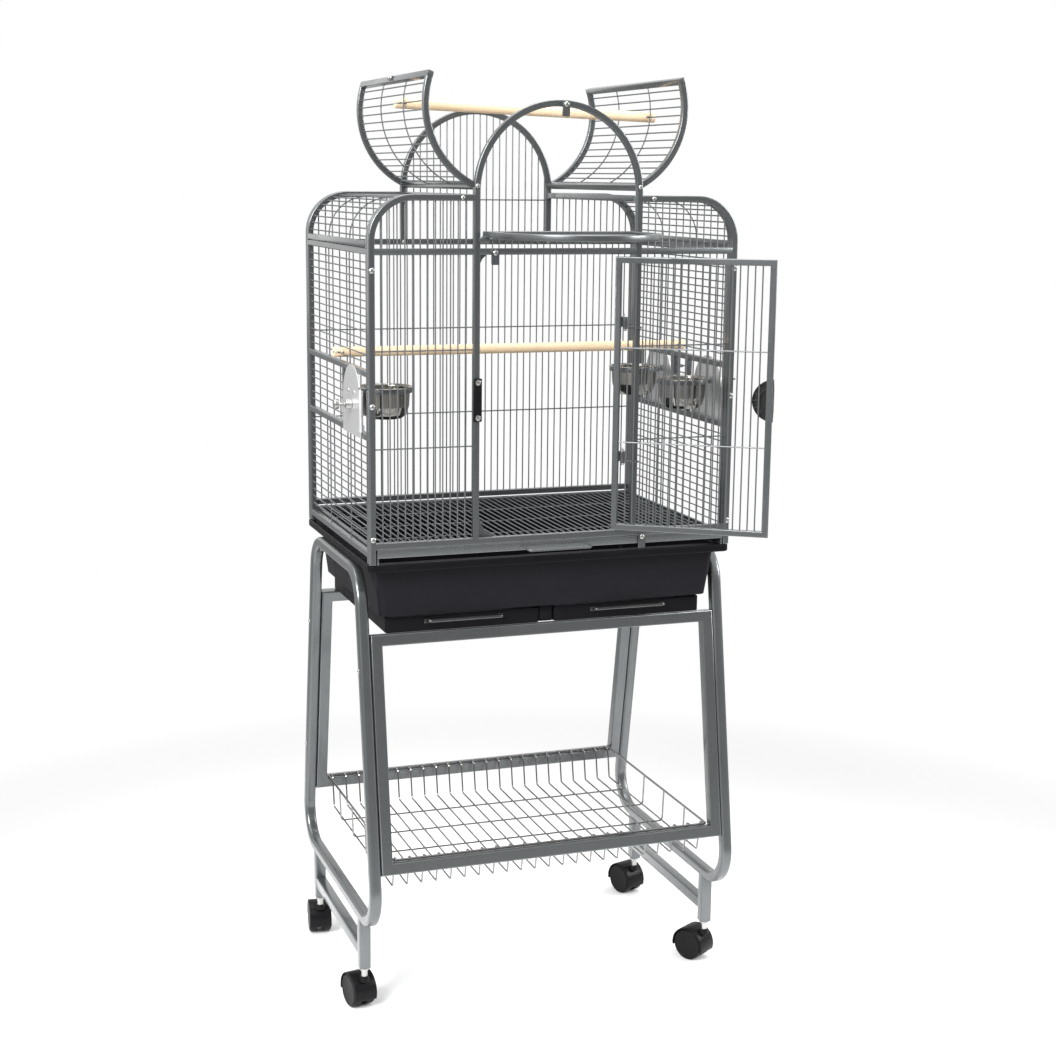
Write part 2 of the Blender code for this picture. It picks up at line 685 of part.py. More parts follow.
def dome_flap():
    bottom = DOME_FLAP_PIN_Z - HALF
    top_centre = ARCH_Z + ARCH_R - HALF - 0.002 - DOME_FLAP_R
    outer = [(DOME_FLAP_R, bottom)] + arc(0, top_centre, DOME_FLAP_R, 0, 90, ARCH_STEPS // 2)
    bore = DOME_FLAP_R - TUBE
    hole = [(bore, bottom + TUBE)] + arc(0, top_centre, bore, 0, 90, ARCH_STEPS // 2)
    flap = outline("dome_flap", [closed_edge(outer), closed_edge(hole)], TUBE, (0, 0, 0))
    middle = DOME_FLAP_R - HALF
    upright = []
    for x in spread(-bore, bore, DOME_FLAP_WIRES):
        upright.append([(x, 0, bottom + HALF), (x, 0, top_centre + math.sqrt(middle ** 2 - x ** 2))])
    join(flap, rods("dome_flap_uprights", upright))
    for side in (-1, 1):
        outer_x = ARCH_R - HALF - GAP
        low_x, high_x = sorted((side * (outer_x - 0.012), side * outer_x))
        knuckle = box("dome_knuckle_%d" % side, (low_x, DOME_FLAP_PIN_Y - 0.0035, DOME_FLAP_PIN_Z - 0.0035),
                      (high_x, -HALF + 0.003, DOME_FLAP_PIN_Z + 0.0035))
        join(flap, knuckle)
    hinge = pivot("dome_flap_hinge", (0, DOME_FLAP_PIN_Y, DOME_FLAP_PIN_Z))
    hang(flap, hinge)
    hinge.rotation_euler.x = math.pi / 2
    return flap


# Front door, built closed and then swung open about its pin

DOOR_X = ARCH_R - HALF - DOOR_GAP
DOOR_TOP = RAIL_Z - HALF - DOOR_GAP
DOOR_BOTTOM = LOW_RAIL_Z + HALF + DOOR_GAP


def front_door():
    frame = rectangle(-DOOR_X, DOOR_X, DOOR_BOTTOM, DOOR_TOP)
    hole = rectangle(-DOOR_X + TUBE, DOOR_X - TUBE, DOOR_BOTTOM + TUBE, DOOR_TOP - TUBE)
    door = outline("front_door", [frame, hole], TUBE, (0, 0, 0))
    upright = []
    for x in spread(-DOOR_X + TUBE, DOOR_X - TUBE, DOOR_WIRES):
        upright.append([(x, -VERTICAL_LAYER, DOOR_BOTTOM + HALF), (x, -VERTICAL_LAYER, DOOR_TOP - HALF)])
    level = []
    for z in thirds(LOW_RAIL_Z, RAIL_Z):
        level.append([(-DOOR_X + HALF, CROSS_LAYER - VERTICAL_LAYER, z), (DOOR_X - HALF, CROSS_LAYER - VERTICAL_LAYER, z)])
    join(door, rods("door_uprights", upright), rods("door_levels", level))
    for k, z in enumerate(HINGE_Z):
        join(door, door_knuckle("door_knuckle_%d" % k, z))
    hinge = pivot("front_door_hinge", (DOOR_PIN_X, DOOR_PIN_Y, (DOOR_TOP + DOOR_BOTTOM) / 2))
    hang(door, hinge)
    lock = door_lock(hinge)
    hinge.rotation_euler.z = math.radians(DOOR_OPEN)
    return door, lock


def door_knuckle(name, z):
    """The barrel round the pin with a strap onto the door's stile, standing on the post's lug."""
    stile = DOOR_X - TUBE
    shape = arc(DOOR_PIN_X, DOOR_PIN_Y, KNUCKLE_R, 90, 330, 8)
    shape += [(stile + 0.004, DOOR_PIN_Y + 0.002), (stile + 0.004, -HALF + 0.002), (stile + 0.001, -HALF + 0.002)]
    shape += [(stile + 0.001, -HALF - 0.0002), (DOOR_PIN_X, -HALF - 0.0002)]
    return outline(name, [shape], HINGE_HEIGHT, (0, 0, z + GAP + HINGE_HEIGHT / 2), turn=PLANE_XY)


def door_lock(hinge):
    """A half-round turn handle of three steps on the door's free stile."""
    x = -DOOR_X + HALF
    back = -HALF - KEEPER_DEPTH - 0.0015
    layers = []
    for k, radius in enumerate((LOCK_R, LOCK_R * 0.80, LOCK_R * 0.58)):
        half_disc = arc(0, 0, radius, -90, 90, 12 - 2 * k)
        thick = LOCK_STEP + (0.001 if k else 0)
        y = back - LOCK_STEP / 2 - LOCK_STEP * k + (0.0005 if k else 0)
        layers.append(outline("lock_layer_%d" % k, [half_disc], thick, (x - HALF, y, LOCK_Z), "plastic"))
    lock = layers[0]
    lock.name = "door_lock"
    hub = turned("lock_hub", drum(0.0035, LOCK_STEP, back + HALF + GAP), (x, back, LOCK_Z),
                 PLANE_XZ, "plastic", 10)
    join(lock, *layers[1:], hub)
    axle = pivot("door_lock_axle", (x, back, LOCK_Z), hinge)
    hang(lock, axle)
    return lock


def lock_keeper():
    x = -ARCH_R
    back = -HALF - GAP
    keeper = box("lock_keeper", (x - KEEPER_WIDTH / 2, back - KEEPER_DEPTH, LOCK_Z - LOCK_R),
                 (x + KEEPER_WIDTH / 2, back, LOCK_Z + LOCK_R), "plastic")
    hang(keeper, ROOT)
    for name, z in (("upper", LOCK_Z + LOCK_R - 0.006), ("lower", LOCK_Z - LOCK_R + 0.006)):
        profile = [(0, KEEPER_HEAD), (0.0038, KEEPER_HEAD), (0.0042, 0), (0, 0)]
        screw = turned("keeper_screw_" + name, profile, (x, back - KEEPER_DEPTH - GAP, z), PLANE_XZ, "bright", 12)
        hang(screw, ROOT)


# Turn buttons and their bolts

def turn_button(key, x, y, z, parent):
    """A bent tab that hangs from its bolt. The tab turns, the bolt stays."""
    axle = pivot("turn_button_%s_axle" % key, (x, y, z), parent)
    plate = rectangle(-BUTTON_WIDTH / 2, BUTTON_WIDTH / 2, BUTTON_ABOVE - BUTTON_HEIGHT, BUTTON_ABOVE)
    tab = outline("turn_button_" + key, [plate], BUTTON_THICK, (x, y - GAP - BUTTON_THICK / 2, z), "plate")
    hang(tab, axle)
    face = y - 2 * GAP - BUTTON_THICK
    profile = [(0, BOLT_HEAD), (BOLT_R * 0.6, BOLT_HEAD * 0.85), (BOLT_R, 0), (0, 0)]
    bolt = turned("turn_bolt_" + key, profile, (x, face, z), PLANE_XZ, "bright", 12)
    hang(bolt, parent)
    return tab


# Hopper and drawers

def tapered(name, top, bottom):
    """A box whose top and bottom rectangles differ: each is (x half, front, back, z)."""
    shape = bmesh.new()
    bmesh.ops.create_cube(shape, size=2)
    for corner in shape.verts:
        half, front, back, z = top if corner.co.z > 0 else bottom
        corner.co = (half * corner.co.x, back if corner.co.y > 0 else front, z)
    mesh = bpy.data.meshes.new(name)
    shape.to_mesh(mesh)
    shape.free()
    return add(name, mesh, "plastic")


def hopper():
    under = LIP_TOP - LIP_HEIGHT
    floor = under - BODY_HEIGHT
    top = (BODY_TOP_X, LIP_FRONT + BODY_TOP_INSET, LIP_BACK - BODY_TOP_INSET, LIP_TOP - HOPPER_WALL)
    bottom = (BODY_BOTTOM_X, LIP_FRONT + BODY_BOTTOM_INSET, LIP_BACK - BODY_BOTTOM_INSET, floor)
    made = tapered("hopper", top, bottom)
    rim = rectangle(-LIP_X, LIP_X, LIP_FRONT, LIP_BACK)
    throat = rectangle(-LIP_X + LIP_WIDTH, LIP_X - LIP_WIDTH, LIP_FRONT + LIP_WIDTH, LIP_BACK - LIP_WIDTH)
    lip = outline("hopper_lip", [rim, throat], LIP_HEIGHT, (0, 0, LIP_TOP - LIP_HEIGHT / 2), "plastic", PLANE_XY)
    inside = tapered("hopper_inside",
                     (LIP_X - LIP_WIDTH, LIP_FRONT + LIP_WIDTH, LIP_BACK - LIP_WIDTH, LIP_TOP + HOPPER_WALL),
                     (BODY_BOTTOM_X - HOPPER_WALL, bottom[1] + HOPPER_WALL, bottom[2] - HOPPER_WALL, floor + HOPPER_WALL))
    join(made, lip)
    cut(made, inside)
    for name, low, high in (("left", -DRAWER_OUTER_X, -DRAWER_INNER_X), ("right", DRAWER_INNER_X, DRAWER_OUTER_X)):
        margin = 4 * DRAWER_WALL
        hole = box("chute_" + name, (low + margin, DRAWER_FRONT + margin, floor - 0.01),
                   (high - margin, DRAWER_FRONT + DRAWER_DEPTH - margin, floor + 0.01), "plastic")
        cut(made, hole)
    runner = box("drawer_runner", (-DRAWER_INNER_X + 0.0012, DRAWER_FRONT + 0.005, DRAWER_TOP - DRAWER_HEIGHT + 0.001),
                 (DRAWER_INNER_X - 0.0012, DRAWER_FRONT + DRAWER_DEPTH - 0.005, floor + HOPPER_WALL / 2), "plastic")
    join(made, runner)
    hang(made, ROOT)
    return made


DRAWER_TOP = LIP_TOP - LIP_HEIGHT - BODY_HEIGHT - 0.0045


def drawer(side):
    name = "drawer_" + ("left" if side < 0 else "right")
    low_x, high_x = sorted((side * DRAWER_INNER_X, side * DRAWER_OUTER_X))
    bottom = DRAWER_TOP - DRAWER_HEIGHT
    back = DRAWER_FRONT + DRAWER_DEPTH
    made = box(name, (low_x, DRAWER_FRONT, bottom), (high_x, back, DRAWER_TOP), "plastic")
    wall = DRAWER_WALL
    inside = box(name + "_inside", (low_x + wall, DRAWER_FRONT + 2 * wall, bottom + wall),
                 (high_x - wall, back - wall, DRAWER_TOP + wall), "plastic")
    cut(made, inside)
    x = (low_x + high_x) / 2
    z = DRAWER_TOP - 0.006
    out = DRAWER_FRONT - DRAWER_HANDLE_OUT
    half = DRAWER_HANDLE / 2
    path = [(x - half, DRAWER_FRONT + 0.0015, z - 0.004), (x - half + 0.004, out + 0.004, z - 0.002),
            (x - half + 0.010, out, z), (x + half - 0.010, out, z),
            (x + half - 0.004, out + 0.004, z - 0.002), (x + half, DRAWER_FRONT + 0.0015, z - 0.004)]
    join(made, rods(name + "_handle", [path], DRAWER_HANDLE_R, "plastic", resolution=1))
    runner = pivot(name + "_runner", (x, DRAWER_FRONT, bottom))
    hang(made, runner)
    return made


# Grate that slides out over the hopper

def grate(side_x=CAGE_X - HALF - 0.0015):
    back = CAGE_DEPTH - HALF - 0.0010
    bar = GRATE_TOP - GRATE_BAR / 2
    frame = rectangle(-side_x, side_x, -HALF, back)
    hole = rectangle(-side_x + GRATE_SIDE, side_x - GRATE_SIDE, HALF, back - TUBE)
    made = outline("grate", [frame, hole], GRATE_BAR, (0, 0, bar), turn=PLANE_XY)
    for side in (-1, 1):
        low_x, high_x = sorted((side * (side_x - GRATE_SIDE + 0.0002), side * (side_x - 0.0002)))
        skid = box("grate_skid_%d" % side, (low_x, -HALF + 0.001, LIP_TOP + GAP), (high_x, back - 0.001, bar))
        join(made, skid)
    wire_z = GRATE_TOP - 0.0022
    count = round(2 * (side_x - GRATE_SIDE) / WIRE_PITCH) - 1
    lengthwise = [[(x, 0, wire_z), (x, back - HALF, wire_z)]
                  for x in spread(-side_x + GRATE_SIDE, side_x - GRATE_SIDE, count)]
    across = [[(-side_x + GRATE_SIDE / 2, y, wire_z - WIRE - 0.0004), (side_x - GRATE_SIDE / 2, y, wire_z - WIRE - 0.0004)]
              for y in spread(0, back, 3)]
    half = GRATE_HANDLE / 2
    out = -HALF - GRATE_HANDLE_OUT
    path = [(-half, 0, bar), (-half, out + 0.006, bar - 0.002), (-half + 0.006, out, bar - 0.003),
            (half - 0.006, out, bar - 0.003), (half, out + 0.006, bar - 0.002), (half, 0, bar)]
    join(made, rods("grate_lengthwise", lengthwise), rods("grate_across", across),
         rods("grate_handle", [path], 0.0018, resolution=1))
    runner = pivot("grate_runner", (0, 0, GRATE_TOP))
    hang(made, runner)
    turn_button("grate", GRATE_BUTTON_X, -HALF, GRATE_TOP - 0.0015, runner)
    return made


# Feeder doors, thumbscrews and bowls

def feeder(key, side, start_y):
    shift = start_y - WINDOW_FRONT
    pin = (side * (CAGE_X + HALF + FEEDER_PIN_OUT), start_y + FEEDER_PIN_IN - TUBE, CROSSBAR_UPPER - 0.010)
    hinge = pivot("feeder_hinge_" + key, pin)
    face = CAGE_X + HALF + SEAT
    plate_x = side * (face + PLATE_THICK / 2)
    radius = PLATE_WIDTH / 2
    centre = PLATE_CENTRE + shift
    pin_y = pin[1]
    strap = 0.008
    edge = [(centre + radius, PLATE_BOTTOM)] + arc(centre, PLATE_TOP - radius, radius, 0, 180, 12)
    edge += [(centre - radius, CROSSBAR_LOWER + 0.018), (pin_y, CROSSBAR_LOWER + 0.018),
             (pin_y, CROSSBAR_LOWER + 0.018 - strap), (centre - radius, CROSSBAR_LOWER + 0.018 - strap),
             (centre - radius, PLATE_BOTTOM)]
    plate = outline("feeder_door_" + key, [edge], PLATE_THICK, (plate_x, 0, 0), "plate", PLANE_YZ)
    barrel_z = CROSSBAR_UPPER - 0.0240 - GAP
    barrel = turned("feeder_barrel_" + key, drum(0.0034, barrel_z, CROSSBAR_LOWER + 0.008),
                    (pin[0] + side * 0.0003, pin_y, 0), look="plate", steps=8)
    ring = feeder_ring(key, side, shift, plate_x)
    join(plate, barrel, *ring)
    hang(plate, hinge)
    knob_x = side * (face + PLATE_THICK + GAP)
    turn = Matrix.Rotation(side * math.pi / 2, 4, "Y")
    profile = [(0, KNOB_LENGTH), (KNOB_R, KNOB_LENGTH), (KNOB_R, KNOB_LENGTH * 0.74), (0.003, KNOB_LENGTH * 0.68),
               (0.003, KNOB_LENGTH * 0.40), (KNOB_R, KNOB_LENGTH * 0.34), (KNOB_R, 0), (0, 0)]
    knob = turned("thumbscrew_" + key, profile, (knob_x, centre, RAIL_Z - 0.239), turn, "bright", 12)
    screw_axle = pivot("thumbscrew_axle_" + key, (knob_x, centre, RAIL_Z - 0.239), hinge)
    hang(knob, screw_axle)
    lift = pivot("bowl_seat_" + key, (side * BOWL_CENTRE_X, BOWL_CENTRE_Y + shift, BOWL_RIM_Z), hinge)
    hang(bowl(key, side, shift), lift)
    return plate


def feeder_ring(key, side, shift, plate_x):
    """The band under the bowl's rim and the two arms that carry it from the plate."""
    outer = BOWL_R - 0.0010
    inner = outer - RING_WALL
    last = 360 - 360 / RING_SIDES
    place = (side * BOWL_CENTRE_X, BOWL_CENTRE_Y + shift, BOWL_RIM_Z - 0.0022 - RING_HEIGHT / 2)
    ring = outline("feeder_ring_" + key, [arc(0, 0, outer, 0, last, RING_SIDES - 1), arc(0, 0, inner, 0, last, RING_SIDES - 1)],
                   RING_HEIGHT, place, "bright", PLANE_XY)
    arms = []
    for k, offset in enumerate((-0.020, 0.020)):
        reach = math.sqrt(outer ** 2 - offset ** 2)
        low_x, high_x = sorted((side * (BOWL_CENTRE_X + reach - 0.0012), plate_x))
        y = BOWL_CENTRE_Y + shift + offset
        arms.append(box("feeder_arm_%s_%d" % (key, k), (low_x, y - 0.002, place[2] - 0.003),
                        (high_x, y + 0.002, place[2] + 0.003), "bright"))
    return [ring] + arms


def bowl(key, side, shift):
    """A steel bowl: rolled rim, wall that tapers to a flat foot."""
    inside = (BOWL_R - 0.0010 - RING_WALL) * math.cos(math.pi / RING_SIDES) - GAP
    outer = [(BOWL_R, 0), (BOWL_R, -0.0016), (inside, -0.0018), (inside - 0.0020, -BOWL_HEIGHT * 0.70),
             (inside - 0.0130, -BOWL_HEIGHT)]
    inner = [(inside - 0.0135, -BOWL_HEIGHT + BOWL_WALL), (inside - 0.0020 - BOWL_WALL, -BOWL_HEIGHT * 0.70),
             (inside - BOWL_WALL, 0)]
    profile = [(0, -BOWL_HEIGHT + BOWL_WALL)] + inner + outer + [(0, -BOWL_HEIGHT)]
    place = (side * BOWL_CENTRE_X, BOWL_CENTRE_Y + shift, BOWL_RIM_Z)
    return turned("bowl_" + key, profile, place, look="bowl", steps=16)


# Perches

def perch(name, left, right, past, y):
    """A dowel between two wires, with a slot across each end that holds the wire."""
    run = Vector((right[0] - left[0], 0, right[1] - left[1]))
    middle = Vector(((left[0] + right[0]) / 2, y, (left[1] + right[1]) / 2))
    half = run.length / 2 + past
    turn = Matrix.Rotation(math.atan2(run.x, run.z), 4, "Y")
    made = turned(name, drum(PERCH_R, half, -half), middle, turn, "wood", 16)
    for k, way in enumerate((-1, 1)):
        inner, outer = sorted((way * (half - PERCH_SLOT_DEPTH - past / 2), way * (half + 0.01)))
        slot = box("%s_slot_%d" % (name, k), (-PERCH_SLOT / 2, -PERCH_R * 2, inner), (PERCH_SLOT / 2, PERCH_R * 2, outer),
                   "wood")
        slot.matrix_world = made.matrix_world
        bpy.context.view_layer.update()
        cut(made, slot)
    return made


def perches():
    count = round((RAIL_Z - CROSSBAR_UPPER - TUBE) / WIRE_PITCH) - 1
    z = spread(CROSSBAR_UPPER + HALF, RAIL_Z - HALF, count)[0]
    x = CAGE_X + VERTICAL_LAYER
    low = perch("low_perch", (-x, z), (x, z), PERCH_PAST_WIRE, LOW_PERCH_Y)
    hang(low, ROOT)
    left = open_flap_wire(TOP_PERCH_WIRES[0])
    right = open_flap_wire(TOP_PERCH_WIRES[1])
    top = perch("top_perch", (-left[0], left[1]), right, PERCH_PAST_WIRE, TOP_PERCH_Y)
    lift = pivot("top_perch_lift", ((right[0] - left[0]) / 2, TOP_PERCH_Y, (left[1] + right[1]) / 2))
    hang(top, lift)


# Stand

def loop_edge(offset):
    """The side loop's closed line, moved out by offset, with rounded corners, in (y, z)."""
    lean = LOOP_LEAN
    radius = LOOP_BEND_R
    lower = radius / math.tan((math.pi / 2 - lean) / 2)
    upper = radius / math.tan((math.pi / 2 + lean) / 2)
    angle = math.degrees(lean)
    bottom_y = LOOP_BOTTOM_HALF - lower
    top_y = LOOP_TOP_HALF - upper
    half = arc(bottom_y, LOOP_BOTTOM + radius, radius + offset, -90, angle, 5)
    half += arc(top_y, LOOP_TOP - radius, radius + offset, angle, 90, 4)
    right = [(STAND_MID + y, z) for y, z in half]
    left = [(STAND_MID - y, z) for y, z in half][::-1]
    return right + left


def stand_loop(side):
    name = "stand_loop_" + ("left" if side < 0 else "right")
    loop = outline(name, [loop_edge(STAND_HALF), loop_edge(-STAND_HALF)], STAND_TUBE, (side * STAND_X, 0, 0),
                   turn=PLANE_YZ)
    x0, x1 = side * STAND_X - STAND_HALF, side * STAND_X + STAND_HALF
    inset = 0.0002
    for k, way in enumerate((-1, 1)):
        y = STAND_MID + way * FOOT_HALF
        foot = box("%s_foot_%d" % (name, k), (x0 + inset, y - STAND_HALF, FOOT_BOTTOM),
                   (x1 - inset, y + STAND_HALF, LOOP_BOTTOM))
        join(loop, foot)
    bar = box(name + "_bar", (x0 + 2 * inset, STAND_MID - FOOT_HALF, FOOT_BAR_Z - STAND_HALF),
              (x1 - 2 * inset, STAND_MID + FOOT_HALF, FOOT_BAR_Z + STAND_HALF))
    join(loop, bar)
    hang(loop, ROOT)
    return loop


FRAME_X = STAND_X - STAND_HALF - SEAT


def stand_frame(key, way):
    """A leaning rectangle of square tube between the loops' front or rear legs."""
    lean = LOOP_LEAN
    rise = (STAND_HALF + STAND_HALF * math.tan(lean)) * math.cos(lean)
    top = FRAME_TOP - rise
    bottom = FRAME_BOTTOM + rise
    height = (top - bottom) / math.cos(lean) + STAND_TUBE
    centre_z = (top + bottom) / 2
    centre_y = STAND_MID + way * (LOOP_TOP_HALF + (LOOP_TOP - centre_z) * math.tan(lean))
    outer = rectangle(-FRAME_X, FRAME_X, -height / 2, height / 2)
    inner = rectangle(-FRAME_X + STAND_TUBE, FRAME_X - STAND_TUBE, -height / 2 + STAND_TUBE, height / 2 - STAND_TUBE)
    turn = Matrix.Rotation(way * lean, 4, "X") @ PLANE_XZ
    frame = outline("stand_frame_" + key, [outer, inner], STAND_TUBE, (0, centre_y, centre_z), turn=turn)
    hang(frame, ROOT)
    return frame


# Wire shelf that hangs on the stand's lower rails

def storage_shelf():
    floor = SHELF_RIM_Z - SHELF_DEPTH
    rail = LOOP_TOP_HALF + (LOOP_TOP - SHELF_RIM_Z) * math.tan(LOOP_LEAN)
    front, back = STAND_MID - rail + 0.003, STAND_MID + rail - 0.003
    corners = [(-SHELF_X, front), (SHELF_X, front), (SHELF_X, back), (-SHELF_X, back)]
    rim = rods("storage_shelf", [[(x, y, SHELF_RIM_Z) for x, y in corners]], SHELF_RIM_R, "shelf", closed=True)
    over = 0.0125
    wall_in = 0.023
    lengthwise = []
    for k in range(SHELF_WIRES):
        x = (k - (SHELF_WIRES - 1) / 2) * SHELF_PITCH
        lengthwise.append([(x, front, SHELF_RIM_Z), (x, front + over, SHELF_RIM_Z), (x, front + wall_in, floor),
                           (x, back - wall_in, floor), (x, back - over, SHELF_RIM_Z), (x, back, SHELF_RIM_Z)])
    low = floor - 2 * SHELF_WIRE_R - GAP
    across = []
    for y in spread(front, back, SHELF_CROSS):
        across.append([(-SHELF_X, y, SHELF_RIM_Z), (-SHELF_X + 0.002, y, low), (SHELF_X - 0.002, y, low),
                       (SHELF_X, y, SHELF_RIM_Z)])
    join(rim, rods("shelf_lengthwise", lengthwise, SHELF_WIRE_R, "shelf"),
         rods("shelf_across", across, SHELF_WIRE_R, "shelf"))
    hang(rim, ROOT)
    return rim


# Castors

def castor(key):
    side = -1 if "left" in key else 1
    way = -1 if "front" in key else 1
    x, y = side * STAND_X, STAND_MID + way * FOOT_HALF
    top = WHEEL_R + HOOD_R
    stem = turned("castor_stem_" + key, [(0, FOOT_BOTTOM - GAP), (STEM_R, FOOT_BOTTOM - GAP), (STEM_R, FOOT_BOTTOM - 0.003),
                                         (STEM_R * 0.7, FOOT_BOTTOM - 0.003), (STEM_R * 0.7, top + 2 * GAP),
                                         (0, top + 2 * GAP)], (x, y, 0), look="bright", steps=12)
    hang(stem, ROOT)
    swivel = pivot("castor_swivel_" + key, (x, y, 0))
    axle = pivot("castor_axle_" + key, (x, y + CASTOR_TRAIL, WHEEL_R), swivel)
    hood = castor_hood(key, x, y, top)
    hang(hood, swivel)
    wheel = castor_wheel(key, x, y)
    hang(wheel, axle)
    swivel.rotation_euler.z = math.radians(CASTOR_TURN[key] - 90)


def castor_hood(key, x, y, top):
    """Fender over both wheels and the web between them, with a boss under the stem. It trails along +Y."""
    place = (x, y + CASTOR_TRAIL, WHEEL_R)
    width = 2 * WHEEL_WIDTH + WHEEL_GAP
    outer = arc(0, 0, HOOD_R, -12, 200, 10)
    inner = arc(0, 0, HOOD_R - HOOD_WALL, 200, -12, 10)
    fender = outline("castor_hood_" + key, [outer + inner], width, place, "plastic", PLANE_YZ)
    web_r = HOOD_R - HOOD_WALL / 2
    web_edge = arc(0, 0, web_r, -10, 198, 10) + arc(0, 0, 0.009, 230, 300, 3)
    web = outline("castor_web_" + key, [web_edge, arc(0, 0, AXLE_R + GAP, 0, 315, 7)], WHEEL_GAP - 0.003, place,
                  "plastic", PLANE_YZ)
    boss = turned("castor_boss_" + key, drum(STEM_R, top + GAP, top - 0.008), (x, y, 0), look="plastic", steps=12)
    return join(fender, web, boss)


def castor_wheel(key, x, y):
    half = WHEEL_GAP / 2 + WHEEL_WIDTH
    face = WHEEL_GAP / 2
    profile = [(0, half), (WHEEL_R * 0.80, half), (WHEEL_R, half - 0.004), (WHEEL_R, face), (AXLE_R, face),
               (AXLE_R, -face), (WHEEL_R, -face), (WHEEL_R, -half + 0.004), (WHEEL_R * 0.80, -half), (0, -half)]
    turn = Matrix.Rotation(math.pi / 2, 4, "Y")
    return turned("castor_wheel_" + key, profile, (x, y + CASTOR_TRAIL, WHEEL_R), turn, "plastic", 16)


# Screws that hold the side panels to the front posts

def post_screws():
    profile = [(0, 0.0026), (0.0026, 0.0020), (0.0045, 0), (0, 0)]
    for side, word in ((-1, "left"), (1, "right")):
        for level, drop in (("upper", 0.0277), ("middle", 0.2330), ("lower", 0.4390)):
            place = (side * CAGE_X, -HALF - GAP, RAIL_Z - drop)
            screw = turned("post_screw_%s_%s" % (word, level), profile, place, PLANE_XZ, "bright", 10)
            hang(screw, ROOT)


def settle():
    """Moves the whole so that the origin is on the floor under the middle of its box."""
    graph = bpy.context.evaluated_depsgraph_get()
    places = []
    for piece in PARTS.objects:
        if piece.type == "MESH":
            made = piece.evaluated_get(graph)
            places += [piece.matrix_world @ corner.co for corner in made.data.vertices]
    middle = [(min(p[k] for p in places) + max(p[k] for p in places)) / 2 for k in (0, 1)]
    ROOT.location = (-middle[0], -middle[1], -min(p.z for p in places))
    bpy.context.view_layer.update()


def build():
    for piece in (front_panel(), back_panel(), side_panel(-1), side_panel(1), roof_panel(-1), roof_panel(1)):
        hang(piece, ROOT)
    top_flap(-1)
    top_flap(1)
    dome_flap()
    front_door()
    lock_keeper()
    turn_button("dome", 0.007, -HALF, ARCH_Z + ARCH_R - 0.0015, ROOT)
    turn_button("door", -0.1056, RAIL_FRONT, RAIL_Z - 0.0018, ROOT)
    hopper()
    drawer(-1)
    drawer(1)
    grate()
    feeder("left", -1, WINDOW_FRONT)
    feeder("right_front", 1, WINDOW_FRONT)
    feeder("right_rear", 1, WINDOW_FRONT + FEEDER_STEP)
    perches()
    stand_loop(-1)
    stand_loop(1)
    stand_frame("front", -1)
    stand_frame("rear", 1)
    storage_shelf()
    for key in CASTOR_TURN:
        castor(key)
    post_screws()
    for piece in PARTS.objects:
        if piece.type == "MESH":
            piece.data.shade_smooth()
            piece.data.set_sharp_from_angle(angle=math.radians(35))
    bpy.context.view_layer.update()
    settle()


build()
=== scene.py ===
"""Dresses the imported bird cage: fine wire, hammered grey tube, black trays, steel bowls and birch perches."""
import math

import bmesh
import bpy
from mathutils import Matrix, Vector


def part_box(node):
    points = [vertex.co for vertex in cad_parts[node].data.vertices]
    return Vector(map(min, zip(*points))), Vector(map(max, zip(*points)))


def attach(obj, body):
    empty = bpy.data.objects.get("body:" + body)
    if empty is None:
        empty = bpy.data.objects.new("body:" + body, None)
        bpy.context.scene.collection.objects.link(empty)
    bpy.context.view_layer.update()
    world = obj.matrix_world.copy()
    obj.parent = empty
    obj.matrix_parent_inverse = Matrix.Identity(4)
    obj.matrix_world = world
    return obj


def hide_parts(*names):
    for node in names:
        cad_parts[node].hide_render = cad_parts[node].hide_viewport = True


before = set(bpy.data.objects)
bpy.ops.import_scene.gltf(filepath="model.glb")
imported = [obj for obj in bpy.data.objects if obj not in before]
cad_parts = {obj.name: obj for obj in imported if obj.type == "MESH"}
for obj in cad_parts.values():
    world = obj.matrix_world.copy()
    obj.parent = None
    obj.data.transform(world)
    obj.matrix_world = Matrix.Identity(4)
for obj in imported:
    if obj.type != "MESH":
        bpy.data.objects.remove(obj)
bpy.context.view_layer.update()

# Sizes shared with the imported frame, in metres. X and Z are the frame's own; Y counts from the front panel.
# A panel's wires run WIRE_OUT from its middle plane; those across them, CROSS_OUT or WIRE_STEP further in.
TUBE = 0.010
HALF = TUBE / 2
TUBE_EDGE = 0.0018
WIRE_R = 0.00115
WIRE_STEP = 2.1 * WIRE_R
WIRE_OUT = 0.0008
CROSS_OUT = 0.0032
RAIL_BAR = (0.0008, 0.0048)
PITCH = 0.0119
SIDE_X = 0.300
DEPTH = 0.4136
RAIL = 1.235
LOW_RAIL = RAIL - 0.450
TOP_RAIL = RAIL + 0.0808
SHOULDER = 0.065
ARCH = 0.1336
ARCH_Z = RAIL + 0.090
FRONT_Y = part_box("back_panel")[1].y - HALF - DEPTH
SEAT = 0.0005
GAP = 0.0003
LIP_TOP = RAIL - 0.4795
BASE = Matrix.Translation((0, FRONT_Y, 0))
ROOT = "cage_and_stand"
HANDS = {-1: "left", 1: "right"}

PLANE_XZ = Matrix.Rotation(math.pi / 2, 4, "X")
PLANE_YZ = Matrix(((0, 0, 1, 0), (1, 0, 0, 0), (0, 1, 0, 0), (0, 0, 0, 1)))
PLANE_XY = Matrix.Identity(4)


# Shader maths

MIX_FACTOR, MIX_FIRST, MIX_SECOND, MIX_RESULT = 0, 6, 7, 2


